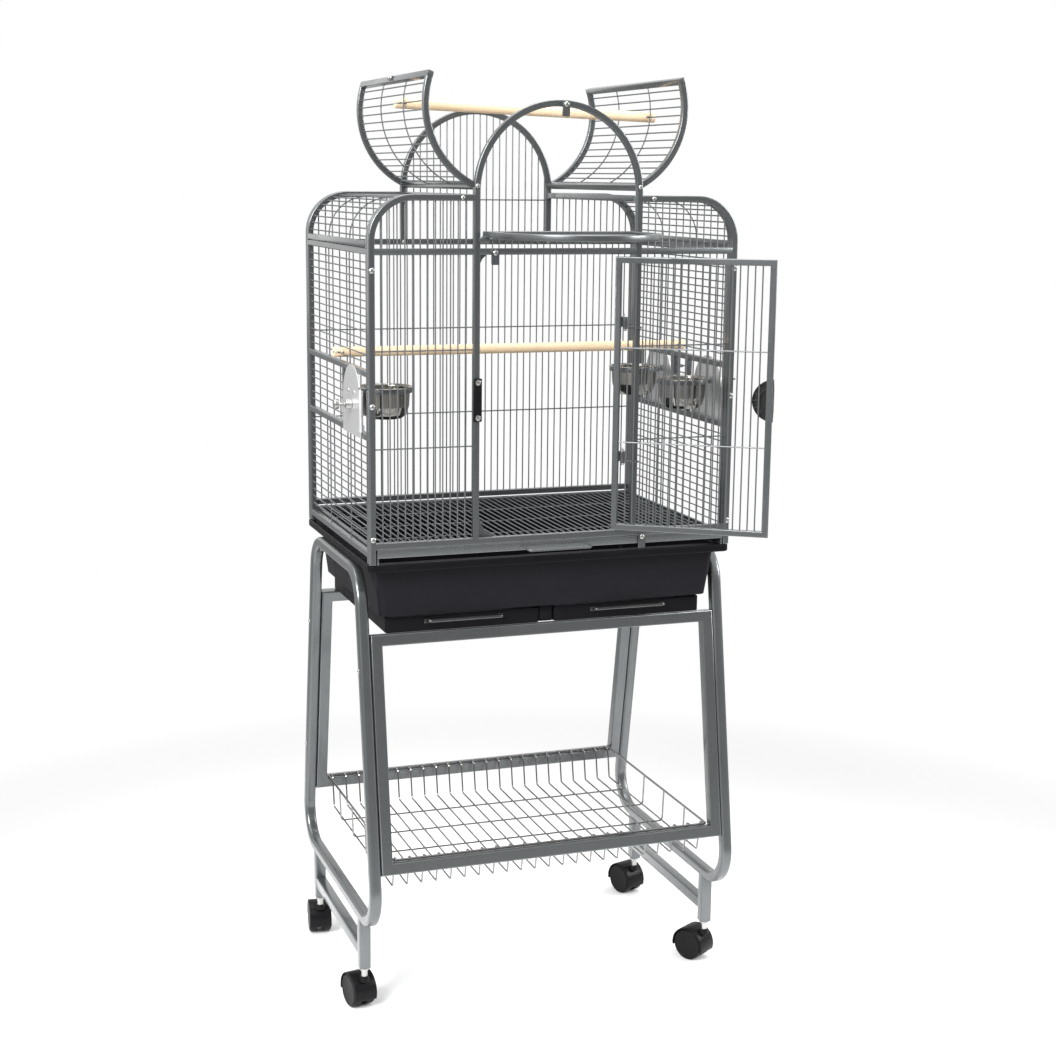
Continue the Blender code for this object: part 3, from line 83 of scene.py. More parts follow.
class Value:
    """A socket that can be used in sums, so that mask * 0.5 adds a Math node."""

    def __init__(self, nodes, socket):
        self.nodes = nodes
        self.socket = socket

    def maths(self, operation, other):
        return self.nodes.node("Math", {0: self, 1: other}, operation=operation)

    def __add__(self, other):
        return self.maths("ADD", other)

    def __sub__(self, other):
        return self.maths("SUBTRACT", other)

    def __mul__(self, other):
        return self.maths("MULTIPLY", other)

    __radd__ = __add__


class Nodes:
    """A node tree and a short way to add to it."""

    def __init__(self, tree):
        self.tree = tree

    def node(self, kind, sockets=None, output=0, **settings):
        made = self.tree.nodes.new("ShaderNode" + kind)
        for key, value in settings.items():
            setattr(made, key, value)
        for key, value in (sockets or {}).items():
            if isinstance(value, Value):
                self.tree.links.new(value.socket, made.inputs[key])
            else:
                made.inputs[key].default_value = value
        return Value(self, made.outputs[output])


class Paint(Nodes):
    """One material and its nodes."""

    def __init__(self, name, metallic=0.0, coat=0.0, coat_roughness=0.1, specular=0.5):
        self.material = bpy.data.materials.new(name)
        self.material.use_nodes = True
        super().__init__(self.material.node_tree)
        self.shader = self.tree.nodes["Principled BSDF"]
        for key, value in (("Metallic", metallic), ("Specular IOR Level", specular), ("Coat Weight", coat),
                           ("Coat Roughness", coat_roughness)):
            self.set(key, value)

    def place(self):
        return self.node("TexCoord", output="Object")

    def edges(self):
        """How sharply the surface turns: above 0.5 on outer edges."""
        return self.node("NewGeometry", output="Pointiness")

    def stretched(self, x, y, z):
        return self.node("Mapping", {"Vector": self.place(), "Scale": (x, y, z)})

    def noise(self, where, scale, detail=2.0, roughness=0.5):
        return self.node("TexNoise", {"Vector": where, "Scale": scale, "Detail": detail,
                                      "Roughness": roughness})

    def cells(self, where, scale):
        return self.node("TexVoronoi", {"Vector": where, "Scale": scale, "Smoothness": 0.7},
                         feature="SMOOTH_F1")

    def band(self, value, low, high):
        """Stretches the part of a value between low and high to 0 to 1."""
        return self.node("MapRange", {"Value": value, "From Min": low, "From Max": high})

    def mix(self, factor, first, second):
        return self.node("Mix", {MIX_FACTOR: factor, MIX_FIRST: first, MIX_SECOND: second}, MIX_RESULT,
                         data_type="RGBA")

    def set(self, name, value):
        if isinstance(value, Value):
            self.tree.links.new(value.socket, self.shader.inputs[name])
        else:
            self.shader.inputs[name].default_value = value

    def bump(self, height, depth, strength):
        self.set("Normal", self.node("Bump", {"Height": height, "Distance": depth, "Strength": strength}))


def tone(red, green, blue, factor=1.0):
    return (red * factor, green * factor, blue * factor, 1)


def hammered(name, colour, cell, depth, metallic=0.85, coat=0.60, roughness=0.24):
    """Silver-vein stove enamel over steel: fine dimples, slight clouds and paler, rubbed edges."""
    paint = Paint(name, metallic=metallic, coat=coat, coat_roughness=0.09)
    where = paint.place()
    dimples = paint.cells(where, 1 / cell)
    clouds = paint.noise(where, 9.0, 4.0)
    fine = paint.noise(where, 1400.0, 2.0)
    rubbed = paint.band(paint.edges() + clouds * 0.03, 0.545, 0.62)
    body = paint.mix(paint.band(dimples, 0.15, 0.80), tone(*colour, 1.06), tone(*colour, 0.93))
    body = paint.mix(paint.band(clouds, 0.40, 0.72) * 0.30, body, tone(*colour, 0.80))
    body = paint.mix(paint.band(fine, 0.60, 0.72) * 0.22, body, tone(*colour, 1.5))
    body = paint.mix(rubbed * 0.5, body, tone(*colour, 1.9))
    paint.set("Base Color", body)
    dull = roughness + paint.band(fine, 0.3, 0.7) * 0.12 + paint.band(clouds, 0.3, 0.7) * 0.08
    paint.set("Roughness", dull - rubbed * 0.08)
    paint.bump(dimples * -1.0 + fine * 0.10, depth, 0.35)
    return paint.material


def plated(name, colour, roughness, streaks, depth):
    """Plated or polished metal with fine drawing lines and a few dull spots."""
    paint = Paint(name, metallic=1.0)
    lines = paint.noise(paint.stretched(*streaks), 60.0, 4.0, 0.6)
    clouds = paint.noise(paint.place(), 45.0, 3.0)
    rubbed = paint.band(paint.edges(), 0.55, 0.65)
    body = paint.mix(paint.band(clouds, 0.35, 0.75) * 0.45, tone(*colour), tone(*colour, 0.70))
    paint.set("Base Color", paint.mix(rubbed * 0.4, body, tone(*colour, 1.35)))
    dull = roughness + paint.band(lines, 0.3, 0.7) * 0.10
    paint.set("Roughness", dull + paint.band(clouds, 0.5, 0.8) * 0.08)
    paint.bump(lines, depth, 0.5)
    return paint.material


def moulded(name, colour, grain, depth, roughness, coat, specular=0.09):
    """Moulded black plastic with a fine grain, light scuffs and worn, greyer edges."""
    paint = Paint(name, coat=coat, coat_roughness=0.22, specular=specular)
    pebbles = paint.cells(paint.place(), 1 / grain)
    scuffs = paint.noise(paint.stretched(1.0, 6.0, 1.0), 22.0, 5.0, 0.65)
    rubbed = paint.band(paint.edges() + scuffs * 0.04, 0.56, 0.64)
    body = paint.mix(paint.band(scuffs, 0.56, 0.80) * 0.4, tone(*colour), tone(*colour, 1.9))
    paint.set("Base Color", paint.mix(rubbed * 0.5, body, tone(*colour, 4.0)))
    paint.set("Roughness", roughness + paint.band(scuffs, 0.4, 0.7) * 0.12)
    paint.bump(pebbles, depth, 0.5)
    return paint.material


def birch(name):
    """Bare birch dowel: long pale streaks, broad paler patches and short darker pores."""
    paint = Paint(name)
    along = paint.stretched(1.0, 1.0, 0.06)
    streaks = paint.noise(along, 420.0, 4.0, 0.6)
    broad = paint.noise(along, 110.0, 2.0)
    pores = paint.noise(paint.stretched(1.0, 1.0, 0.025), 1500.0, 2.0)
    body = paint.mix(paint.band(streaks, 0.30, 0.72), (0.88, 0.68, 0.46, 1), (0.74, 0.54, 0.34, 1))
    body = paint.mix(paint.band(broad, 0.40, 0.70) * 0.45, body, (0.92, 0.76, 0.55, 1))
    body = paint.mix(paint.band(pores, 0.62, 0.74) * 0.5, body, (0.40, 0.26, 0.14, 1))
    paint.set("Base Color", body)
    paint.set("Roughness", 0.52 + paint.band(streaks, 0.3, 0.7) * 0.16)
    paint.bump(streaks * 0.5 + paint.band(pores, 0.6, 0.75) * -0.6, 0.00025, 0.7)
    return paint.material


LOOKS = {
    "tube": hammered("silver_vein_tube", (0.150, 0.159, 0.163), 0.0022, 0.00012),
    "wire": hammered("silver_vein_wire", (0.120, 0.126, 0.130), 0.0018, 0.00006, 0.75, 0.10, 0.40),
    "plate": hammered("feeder_plate", (0.860, 0.865, 0.870), 0.0024, 0.00008, 0.8),
    "chrome": plated("chrome_wire", (0.270, 0.268, 0.265), 0.12, (1, 1, 1), 0.00002),
    "zinc": plated("zinc_hardware", (0.560, 0.560, 0.545), 0.24, (1, 1, 6), 0.00004),
    "steel": plated("polished_steel", (0.350, 0.335, 0.310), 0.05, (1, 1, 9), 0.00002),
    "tray": moulded("black_tray", (0.0050, 0.0046, 0.0060), 0.0011, 0.00006, 0.44, 0.05),
    "plastic": moulded("black_plastic", (0.0060, 0.0060, 0.0068), 0.0007, 0.00004, 0.36, 0.10),
    "tread": moulded("wheel_black", (0.0075, 0.0074, 0.0080), 0.0009, 0.00005, 0.40, 0.06),
    "gloss": moulded("black_handle", (0.0120, 0.0120, 0.0125), 0.0007, 0.00002, 0.16, 0.80, 0.50),
    "birch": birch("birch_dowel"),
}


# Points

def arc(x, z, radius, first, last, steps):
    """Points on a circle from one angle to another, in degrees."""
    turn = (last - first) / steps
    angles = [math.radians(first + turn * k) for k in range(steps + 1)]
    return [(x + radius * math.cos(a), z + radius * math.sin(a)) for a in angles]


def spread(low, high, count):
    return [low + (high - low) * (k + 1) / (count + 1) for k in range(count)]


def mirrored(points):
    return [(-x, y) for x, y in points]


def rectangle(x0, x1, y0, y1):
    return [(x0, y0), (x1, y0), (x1, y1), (x0, y1)]


def rounded(x0, x1, y0, y1, radius, steps=6):
    left, right, near, far = x0 + radius, x1 - radius, y0 + radius, y1 - radius
    made = []
    for x, y, start in ((right, near, -90), (right, far, 0), (left, far, 90), (left, near, 180)):
        made += arc(x, y, radius, start, start + 90, steps)
    return made


def bent(points, radius, steps=6, closed=False):
    """A path of straight runs with each corner rounded to a radius."""
    points = [Vector(p) for p in points]
    count = len(points)
    made = []
    for k, corner in enumerate(points):
        if not closed and k in (0, count - 1):
            made.append(corner)
            continue
        before, after = points[k - 1], points[(k + 1) % count]
        back, ahead = (before - corner), (after - corner)
        angle = back.angle(ahead)
        reach = min(radius / math.tan(angle / 2), 0.49 * back.length, 0.49 * ahead.length)
        start, end = corner + back.normalized() * reach, corner + ahead.normalized() * reach
        for j in range(steps + 1):
            t = j / steps
            made.append(start * (1 - t) ** 2 + corner * 2 * t * (1 - t) + end * t ** 2)
    return made


def about(place, axis, degrees):
    """A turn about a line through place."""
    there = Matrix.Translation(place)
    return there @ Matrix.Rotation(math.radians(degrees), 4, axis) @ there.inverted()


def sideways(side):
    """Turns +Z to the left for -1 and to the right for 1."""
    return Matrix.Rotation(side * math.pi / 2, 4, "Y")


# Meshes

def linked(name, data):
    made = bpy.data.objects.new(name, data)
    bpy.context.scene.collection.objects.link(made)
    return made


def evaluated(shape, *helpers):
    """The mesh that an object's curve or modifiers make. The object and its helpers go."""
    graph = bpy.context.evaluated_depsgraph_get()
    mesh = bpy.data.meshes.new_from_object(shape.evaluated_get(graph))
    for each in (shape, *helpers):
        bpy.data.objects.remove(each, do_unlink=True)
    return mesh


def finished(shape, name="mesh"):
    mesh = bpy.data.meshes.new(name)
    shape.to_mesh(mesh)
    shape.free()
    return mesh


def swept(paths, closed, **settings):
    """The mesh of a curve with these settings that runs along the paths."""
    curve = bpy.data.curves.new("swept", "CURVE")
    for key, value in settings.items():
        setattr(curve, key, value)
    for path in paths:
        spline = curve.splines.new("POLY")
        spline.points.add(len(path) - 1)
        for point, spot in zip(spline.points, path):
            point.co = (*spot, 1)
        spline.use_cyclic_u = closed
    return evaluated(linked("swept", curve))


def outline(loops, thickness, turn=PLANE_XZ, place=(0, 0, 0), edge=None, steps=3):
    """A flat outline with holes, extruded, with its edges rounded as a drawn tube's are."""
    edge = edge or (TUBE_EDGE if thickness > TUBE / 2 else TUBE_EDGE / 2)
    mesh = swept([[(x, y, 0) for x, y in loop] for loop in loops], True, dimensions="2D", fill_mode="BOTH",
                 extrude=thickness / 2 - edge, bevel_depth=edge, bevel_resolution=steps, offset=-edge)
    mesh.transform(Matrix.Translation(place) @ turn)
    return mesh


def rods(paths, radius=WIRE_R, closed=False, resolution=2):
    return swept(paths, closed, dimensions="3D", bevel_depth=radius, bevel_resolution=resolution,
                 use_fill_caps=not closed)


def boxes(corners, edge=0.0011, steps=2):
    shape = bmesh.new()
    for low, high in corners:
        low, high = (Vector([pick(pair) for pair in zip(low, high)]) for pick in (min, max))
        matrix = Matrix.Translation((low + high) / 2) @ Matrix.Diagonal((*(high - low), 1))
        bmesh.ops.create_cube(shape, size=1, matrix=matrix)
    bmesh.ops.bevel(shape, geom=shape.edges[:], offset=edge, segments=steps, profile=0.5, affect="EDGES")
    return finished(shape)


def lathe(profile, place=(0, 0, 0), turn=PLANE_XY, steps=48, edge=0, rounding=3):
    """A profile of (radius, height) points turned about its own +Z, with its corners rounded by edge."""
    if edge:
        profile = [(p.x, p.y) for p in bent([(x, y, 0) for x, y in profile], edge, rounding)]
    shape = bmesh.new()
    corners = [shape.verts.new((radius, 0, height)) for radius, height in profile]
    edges = [shape.edges.new(pair) for pair in zip(corners, corners[1:])]
    bmesh.ops.spin(shape, geom=corners + edges, cent=(0, 0, 0), axis=(0, 0, 1), angle=math.tau, steps=steps,
                   use_merge=True, use_duplicate=False)
    bmesh.ops.remove_doubles(shape, verts=shape.verts, dist=0.000002)
    bmesh.ops.recalc_face_normals(shape, faces=shape.faces)
    shape.transform(Matrix.Translation(place) @ turn)
    return finished(shape)


def carved(mesh, tool):
    """Cuts the tool mesh out of the other."""
    blank, cutter = linked("blank", mesh), linked("cutter", tool)
    change = blank.modifiers.new("cut", "BOOLEAN")
    change.operation = "DIFFERENCE"
    change.solver = "EXACT"
    change.object = cutter
    return evaluated(blank, cutter)


HEAD = [(0, 0.0022), (0.0022, 0.0020), (0.0034, 0.0008), (0.0035, -0.0004), (0, -0.0004)]


def bolt_head(place, turn=PLANE_XY):
    return lathe(HEAD, place, turn, 20, 0.0007)


def piece(name, meshes, look, body=ROOT, matrix=PLANE_XY, nodes=()):
    """Joins meshes to one piece, gives it a material and rides it on a body."""
    shape = bmesh.new()
    for mesh in meshes:
        shape.from_mesh(mesh)
    mesh = finished(shape, name)
    made = linked(name, mesh)
    mesh.shade_smooth()
    mesh.set_sharp_from_angle(angle=math.radians(40))
    mesh.materials.clear()
    mesh.materials.append(LOOKS[look])
    made.matrix_world = BASE @ matrix
    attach(made, body)
    if nodes:
        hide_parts(*nodes)


# Shoulders and arch

ARCH_STEPS = 24
SHOULDER_STEPS = 14


def shoulder(radius):
    return arc(SIDE_X - SHOULDER, TOP_RAIL - SHOULDER, radius, 0, 90, SHOULDER_STEPS)


def arch(radius, first=0, last=90):
    return arc(0, ARCH_Z, radius, first, last, ARCH_STEPS)


def closed_edge(half):
    return half + mirrored(half[:-1])[::-1]


def panel_edge():
    foot = LIP_TOP + GAP
    edge = [(SIDE_X - HALF, LOW_RAIL - HALF), (SIDE_X - HALF, foot), (SIDE_X + HALF, foot)]
    edge += shoulder(SHOULDER + HALF)
    edge.append((ARCH + HALF, TOP_RAIL + HALF))
    return edge + arch(ARCH + HALF)


def roof_height(x):
    """Z of the shoulders' middle line at x."""
    past = abs(x) - (SIDE_X - SHOULDER)
    if past <= 0:
        return TOP_RAIL
    return TOP_RAIL - SHOULDER + math.sqrt(SHOULDER ** 2 - past ** 2)


# Panels

def gusset(z, way, reach, height):
    """A corner plate behind the left arch post that starts at z and narrows upwards (1) or downwards (-1)."""
    x = -ARCH - HALF / 2
    y = HALF + GAP + 0.001
    edge = [(0, 0), (reach, 0), (reach, 0.12), (reach * 0.62, 0.36), (reach * 0.40, 0.66), (reach * 0.32, 1),
            (0, 1)]
    corner = [(x + step, z + way * rise * height) for step, rise in edge]
    plate = outline([corner], 0.002, place=(0, y, 0), edge=0.0003)
    flange = boxes([((x + 0.0004, HALF - 0.001, z), (-ARCH + HALF - 0.0006, y, z + way * height))], 0.0003)
    return [plate, flange]


RAIL_X = SIDE_X - 0.002
PIN_X = 0.1105
PIN_Y = -0.0100
KNUCKLE = 0.0042
HINGE_Z = (RAIL - 0.118, RAIL - 0.332)


def door_lug(z):
    """A lug on the right arch post and the door's hinge pin that stands in it."""
    front = PIN_Y - KNUCKLE
    post = ARCH - HALF + 0.002
    shape = arc(PIN_X, PIN_Y, KNUCKLE, 90, 270, 8)
    shape += [(post + 0.006, front), (post + 0.006, -HALF + 0.001), (post, -HALF + 0.001),
              (post, -HALF - 0.0008)]
    plate = outline([shape], 0.003, PLANE_XY, (0, 0, z - 0.0015), 0.0004)
    profile = [(0, 0.0215), (0.0020, 0.0215), (0.0020, -0.0045), (0.0032, -0.0045), (0.0032, -0.0062),
               (0, -0.0062)]
    return plate, lathe(profile, (PIN_X, PIN_Y, z), PLANE_XY, 16, 0.0006, 2)


def front_panel():
    opening = [(ARCH - HALF, LOW_RAIL + HALF)] + arch(ARCH - HALF)
    hole = [(ARCH + HALF, LOW_RAIL + HALF), (SIDE_X - HALF, LOW_RAIL + HALF)]
    hole += shoulder(SHOULDER - HALF) + [(ARCH + HALF, TOP_RAIL - HALF)]
    parts = [outline([closed_edge(panel_edge()), closed_edge(opening), hole, mirrored(hole)], TUBE)]
    near, far = RAIL_BAR
    parts.append(boxes([((-RAIL_X, -far, RAIL - HALF), (RAIL_X, -near, RAIL + HALF))], 0.0008))
    parts += gusset(RAIL, -1, 0.0225, 0.031) + gusset(LOW_RAIL, 1, 0.035, 0.037)
    lugs, pins = zip(*(door_lug(z) for z in HINGE_Z))
    parts += lugs
    for side in (-1, 1):
        inner = side * (ARCH - HALF)
        parts.append(boxes([((inner - side * 0.0005, PIN_DOME_Y - 0.004, PIN_DOME_Z - 0.004),
                             (inner + side * 0.004, -HALF + 0.001, PIN_DOME_Z + 0.004))], 0.0006))
    piece("front_panel_tube", parts, "tube", nodes=["front_panel"])
    piece("front_hinge_pins", pins, "zinc")
    count = round((SIDE_X - ARCH - TUBE) / PITCH) - 1
    upright, level = [], []
    for side in (-1, 1):
        for x in spread(ARCH + HALF, SIDE_X - HALF, count):
            upright.append([(side * x, WIRE_OUT, LOW_RAIL), (side * x, WIRE_OUT, roof_height(x))])
        for z in spread(LOW_RAIL, RAIL, 2):
            level.append([(side * ARCH, CROSS_OUT, z), (side * SIDE_X, CROSS_OUT, z)])
    piece("front_panel_wire", [rods(upright + level)], "wire")


ARCH_WIRE = RAIL + 0.0727


def back_panel():
    leg = RAIL - HALF / 2
    opening = [(SIDE_X - HALF, LOW_RAIL + HALF)] + shoulder(SHOULDER - HALF)
    opening += [(ARCH + HALF, TOP_RAIL - HALF), (ARCH + HALF, leg), (ARCH - HALF, leg)]
    opening += arch(ARCH - HALF)
    parts = [outline([closed_edge(panel_edge()), closed_edge(opening)], TUBE, place=(0, DEPTH, 0))]
    near, far = RAIL_BAR
    parts.append(boxes([((-RAIL_X, DEPTH + near, RAIL - HALF), (RAIL_X, DEPTH + far, RAIL + HALF))], 0.0008))
    piece("back_panel_tube", parts, "tube", nodes=["back_panel"])
    count = 2 * round((SIDE_X - HALF) / PITCH - 0.5)
    upright = []
    for x in spread(-SIDE_X + HALF, SIDE_X - HALF, count):
        top = roof_height(x)
        if abs(x) < ARCH - HALF:
            top = ARCH_Z + math.sqrt(ARCH ** 2 - x ** 2)
        elif abs(x) < ARCH + HALF:
            top = leg + 0.002
        upright.append([(x, DEPTH - WIRE_OUT, LOW_RAIL), (x, DEPTH - WIRE_OUT, top)])
    cross = DEPTH - CROSS_OUT
    level = [[(-SIDE_X, cross, z), (SIDE_X, cross, z)] for z in spread(LOW_RAIL, RAIL, 2)]
    level.append([(-ARCH, cross, ARCH_WIRE), (ARCH, cross, ARCH_WIRE)])
    piece("back_panel_wire", [rods(upright + level)], "wire")


SIDE_FRONT = HALF + SEAT
SIDE_BACK = DEPTH - HALF - SEAT
SIDE_BOTTOM = LOW_RAIL - 0.015
BAR_UP = RAIL - 0.185
BAR_LOW = RAIL - 0.2825
WINDOW = 0.1410
WINDOW_FRONT = SIDE_FRONT + TUBE
FEEDER_STEP = 0.2050
FEEDER_PIN = 0.0175
FEEDERS = (("left", -1, WINDOW_FRONT), ("right_front", 1, WINDOW_FRONT),
           ("right_rear", 1, WINDOW_FRONT + FEEDER_STEP))


def side_panel(side):
    word = HANDS[side]
    inner_front, inner_back = SIDE_FRONT + TUBE, SIDE_BACK - TUBE
    foot = LIP_TOP + GAP
    edge = [(SIDE_FRONT, foot), (inner_front, foot), (inner_front, SIDE_BOTTOM - HALF),
            (inner_back, SIDE_BOTTOM - HALF), (inner_back, foot), (SIDE_BACK, foot),
            (SIDE_BACK, RAIL + HALF), (SIDE_FRONT, RAIL + HALF)]
    bars = (BAR_LOW + HALF, BAR_UP - HALF)
    areas = [(inner_front, inner_back, BAR_UP + HALF, RAIL - HALF),
             (inner_front, inner_back, SIDE_BOTTOM + HALF, BAR_LOW - HALF)]
    holes = [rectangle(*area) for area in areas]
    starts = [start for _, way, start in FEEDERS if way == side]
    end = inner_front
    for start in starts:
        if start > end:
            areas.append((end, start - TUBE, *bars))
            holes.append(rectangle(end, start - TUBE, *bars))
        stop = start + WINDOW
        if inner_back - stop - TUBE < TUBE:
            stop = inner_back - TUBE
        holes.append(rectangle(start, stop, *bars))
        end = start + WINDOW + TUBE
    if inner_back - end > TUBE:
        areas.append((end, inner_back, *bars))
        holes.append(rectangle(end, inner_back, *bars))
    parts = [outline([edge] + holes, TUBE, PLANE_YZ, (side * SIDE_X, 0, 0))]
    for start in starts:
        pin_y = start - TUBE + FEEDER_PIN
        x = side * (SIDE_X + HALF)
        parts.append(boxes([((x - side * 0.001, start - TUBE + 0.001, BAR_UP - 0.024),
                             (x + side * 0.009, pin_y + 0.0035, BAR_UP - 0.021))], 0.0006))
    piece("side_panel_%s_tube" % word, parts, "tube", nodes=["side_panel_" + word])
    x = side * (SIDE_X + WIRE_OUT)
    level = []
    for y0, y1, low, high in areas:
        for z in spread(low, high, round((high - low) / PITCH) - 1):
            level.append([(x, y0 - 0.003, z), (x, y1 + 0.003, z)])
    inner = side * (SIDE_X + WIRE_OUT - WIRE_STEP)
    upright = []
    for y in spread(0, DEPTH, 2):
        upright.append([(inner, y, BAR_UP), (inner, y, RAIL)])
        upright.append([(inner, y, SIDE_BOTTOM), (inner, y, BAR_LOW)])
    piece("side_panel_%s_wire" % word, [rods(level + upright)], "wire")


def hooped(side, band, bars, near, far, past):
    """Two bands of tube, at near and far, and the bars between them, which reach past the bands' middles."""
    band = [(side * x, z) for x, z in band]
    parts = [outline([band], TUBE, place=(0, y, 0)) for y in (near, far)]
    parts.append(boxes([((side * x - HALF, near - past, z - HALF), (side * x + HALF, far + past, z + HALF))
                        for x, z in bars]))
    return parts


def hoop_wires(side, spots, hoop, places, near, far):
    """A long wire through each spot, and a hoop at each of the places."""
    level = [[(side * x, near, z), (side * x, far, z)] for x, z in spots]
    return [rods(level + [[(side * x, y, z) for x, z in hoop] for y in places])]


def roof_panel(side):
    word = HANDS[side]
    foot = RAIL + HALF + SEAT
    band = [(SIDE_X - HALF, foot), (SIDE_X + HALF, foot)] + shoulder(SHOULDER + HALF)
    band += [(ARCH - HALF, TOP_RAIL + HALF), (ARCH - HALF, TOP_RAIL - HALF)]
    band += shoulder(SHOULDER - HALF)[::-1]
    near, far = SIDE_FRONT + HALF, SIDE_BACK - HALF
    parts = hooped(side, band, ((SIDE_X, foot + HALF), (ARCH, TOP_RAIL)), near, far, 0)
    piece("roof_%s_tube" % word, parts, "tube", nodes=["roof_panel_" + word])
    rise = TOP_RAIL - SHOULDER - foot - HALF
    bend = SHOULDER * math.pi / 2
    whole = rise + bend + SIDE_X - SHOULDER - ARCH
    spots = []
    for distance in spread(0, whole, round(whole / PITCH) - 1):
        run = distance - rise
        x, z = SIDE_X, TOP_RAIL - SHOULDER + run
        if run > bend:
            x, z = SIDE_X - SHOULDER - (run - bend), TOP_RAIL
        elif run > 0:
            x = SIDE_X - SHOULDER + SHOULDER * math.cos(run / SHOULDER)
            z = TOP_RAIL - SHOULDER + SHOULDER * math.sin(run / SHOULDER)
        spots.append((x, z))
    hoop = [(SIDE_X - WIRE_STEP, foot + HALF)] + shoulder(SHOULDER - WIRE_STEP)
    hoop.append((ARCH, TOP_RAIL - WIRE_STEP))
    piece("roof_%s_wire" % word, hoop_wires(side, spots, hoop, spread(0, DEPTH, 2), near, far), "wire")


# Flaps

FLAP_OPEN = 69.3
FLAP_HINGE_Z = ARCH_Z + 0.0085
FLAP_MEET = 0.0008
FLAP_WIRES = 14
FLAP_START = math.degrees(math.asin((FLAP_HINGE_Z - ARCH_Z) / ARCH))
FLAP_END = 90 - math.degrees(math.asin((HALF + FLAP_MEET) / ARCH))
FLAP_X = ARCH * math.cos(math.radians(FLAP_START))
FLAP_SPOTS = arc(0, ARCH_Z, ARCH, FLAP_START, FLAP_END, FLAP_WIRES + 1)[1:-1]


def top_flap(side):
    word = HANDS[side]
    matrix = about((side * FLAP_X, 0, FLAP_HINGE_Z), "Y", side * FLAP_OPEN)
    body = "top_flap_" + word
    band = arch(ARCH + HALF, FLAP_START, FLAP_END) + arch(ARCH - HALF, FLAP_END, FLAP_START)
    near, far = TUBE + SEAT, DEPTH - TUBE - SEAT
    top_z = ARCH_Z + ARCH * math.sin(math.radians(FLAP_END))
    top_x = HALF + FLAP_MEET
    parts = hooped(side, band, ((FLAP_X, FLAP_HINGE_Z), (top_x, top_z)), near, far, HALF)
    catch_x, catch_y, catch_z = side * top_x, DEPTH / 2, top_z + 0.0085
    catch = ((catch_x - 0.0035, catch_y - 0.010, top_z), (catch_x + 0.0035, catch_y + 0.010, catch_z))
    parts.append(boxes([catch], 0.0008))
    piece("flap_%s_tube" % word, parts, "tube", body, matrix, [body])
    heads = [bolt_head((catch_x, catch_y + offset, catch_z)) for offset in (-0.0058, 0.0058)]
    piece("flap_%s_bolts" % word, heads, "zinc", body, matrix)
    hoop = arch(ARCH - WIRE_STEP, FLAP_START, FLAP_END)
    wires = hoop_wires(side, FLAP_SPOTS, hoop, spread(near - HALF, far + HALF, 2), near, far)
    piece("flap_%s_wire" % word, wires, "wire", body, matrix)


DOME_R = 0.1255
DOME_WIRES = 19
PIN_DOME_Y = -0.0095
PIN_DOME_Z = RAIL + 0.0165


def dome_flap():
    bottom = PIN_DOME_Z - HALF
    centre = ARCH_Z + ARCH - HALF - 0.002 - DOME_R
    bore = DOME_R - TUBE
    outer = [(DOME_R, bottom)] + arc(0, centre, DOME_R, 0, 90, ARCH_STEPS)
    hole = [(bore, bottom + TUBE)] + arc(0, centre, bore, 0, 90, ARCH_STEPS)
    matrix = about((0, PIN_DOME_Y, PIN_DOME_Z), "X", 90)
    parts = [outline([closed_edge(outer), closed_edge(hole)], TUBE)]
    knuckles = []
    for side in (-1, 1):
        outer_x = ARCH - HALF - GAP
        knuckles.append(((side * (outer_x - 0.012), PIN_DOME_Y - 0.0035, PIN_DOME_Z - 0.0035),
                         (side * outer_x, -HALF + 0.002, PIN_DOME_Z + 0.0035)))
    parts.append(boxes(knuckles, 0.0008))
    piece("dome_flap_tube", parts, "tube", "dome_flap", matrix, ["dome_flap"])
    middle = DOME_R - HALF
    upright = []
    for x in spread(-bore, bore, DOME_WIRES):
        upright.append([(x, 0, bottom + HALF), (x, 0, centre + math.sqrt(middle ** 2 - x ** 2))])
    piece("dome_flap_wire", [rods(upright)], "wire", "dome_flap", matrix)


# Front door and lock

DOOR_GAP = 0.0029
DOOR_X = ARCH - HALF - DOOR_GAP
DOOR_TOP = RAIL - HALF - DOOR_GAP
DOOR_BOTTOM = LOW_RAIL + HALF + DOOR_GAP
DOOR_SWING = about((PIN_X, PIN_Y, 0), "Z", 147)
DOOR_WIRES = 19
LOCK_Z = RAIL - 0.227
LOCK_R = 0.0335


def front_door():
    edge = rectangle(-DOOR_X, DOOR_X, DOOR_BOTTOM, DOOR_TOP)
    hole = rectangle(-DOOR_X + TUBE, DOOR_X - TUBE, DOOR_BOTTOM + TUBE, DOOR_TOP - TUBE)
    parts = [outline([edge, hole], TUBE)]
    stile = DOOR_X - TUBE
    for z in HINGE_Z:
        shape = arc(PIN_X, PIN_Y, KNUCKLE, 90, 330, 16)
        shape += [(stile + 0.004, PIN_Y + 0.002), (stile + 0.004, -HALF + 0.001),
                  (stile + 0.001, -HALF + 0.001), (stile + 0.001, -HALF - 0.0002), (PIN_X, -HALF - 0.0002)]
        parts.append(outline([shape], 0.016, PLANE_XY, (0, 0, z + GAP + 0.008), 0.0004))
    piece("front_door_tube", parts, "tube", "front_door", DOOR_SWING, ["front_door"])
    upright = [[(x, -WIRE_OUT, DOOR_BOTTOM + HALF), (x, -WIRE_OUT, DOOR_TOP - HALF)]
               for x in spread(-DOOR_X + TUBE, DOOR_X - TUBE, DOOR_WIRES)]
    level = [[(-DOOR_X + HALF, 0.0018, z), (DOOR_X - HALF, 0.0018, z)] for z in spread(LOW_RAIL, RAIL, 2)]
    piece("front_door_wire", [rods(upright + level)], "wire", "front_door", DOOR_SWING)


def half_disc(radius, x=0, steps=40):
    return arc(x, 0, radius, -90, 90, steps)


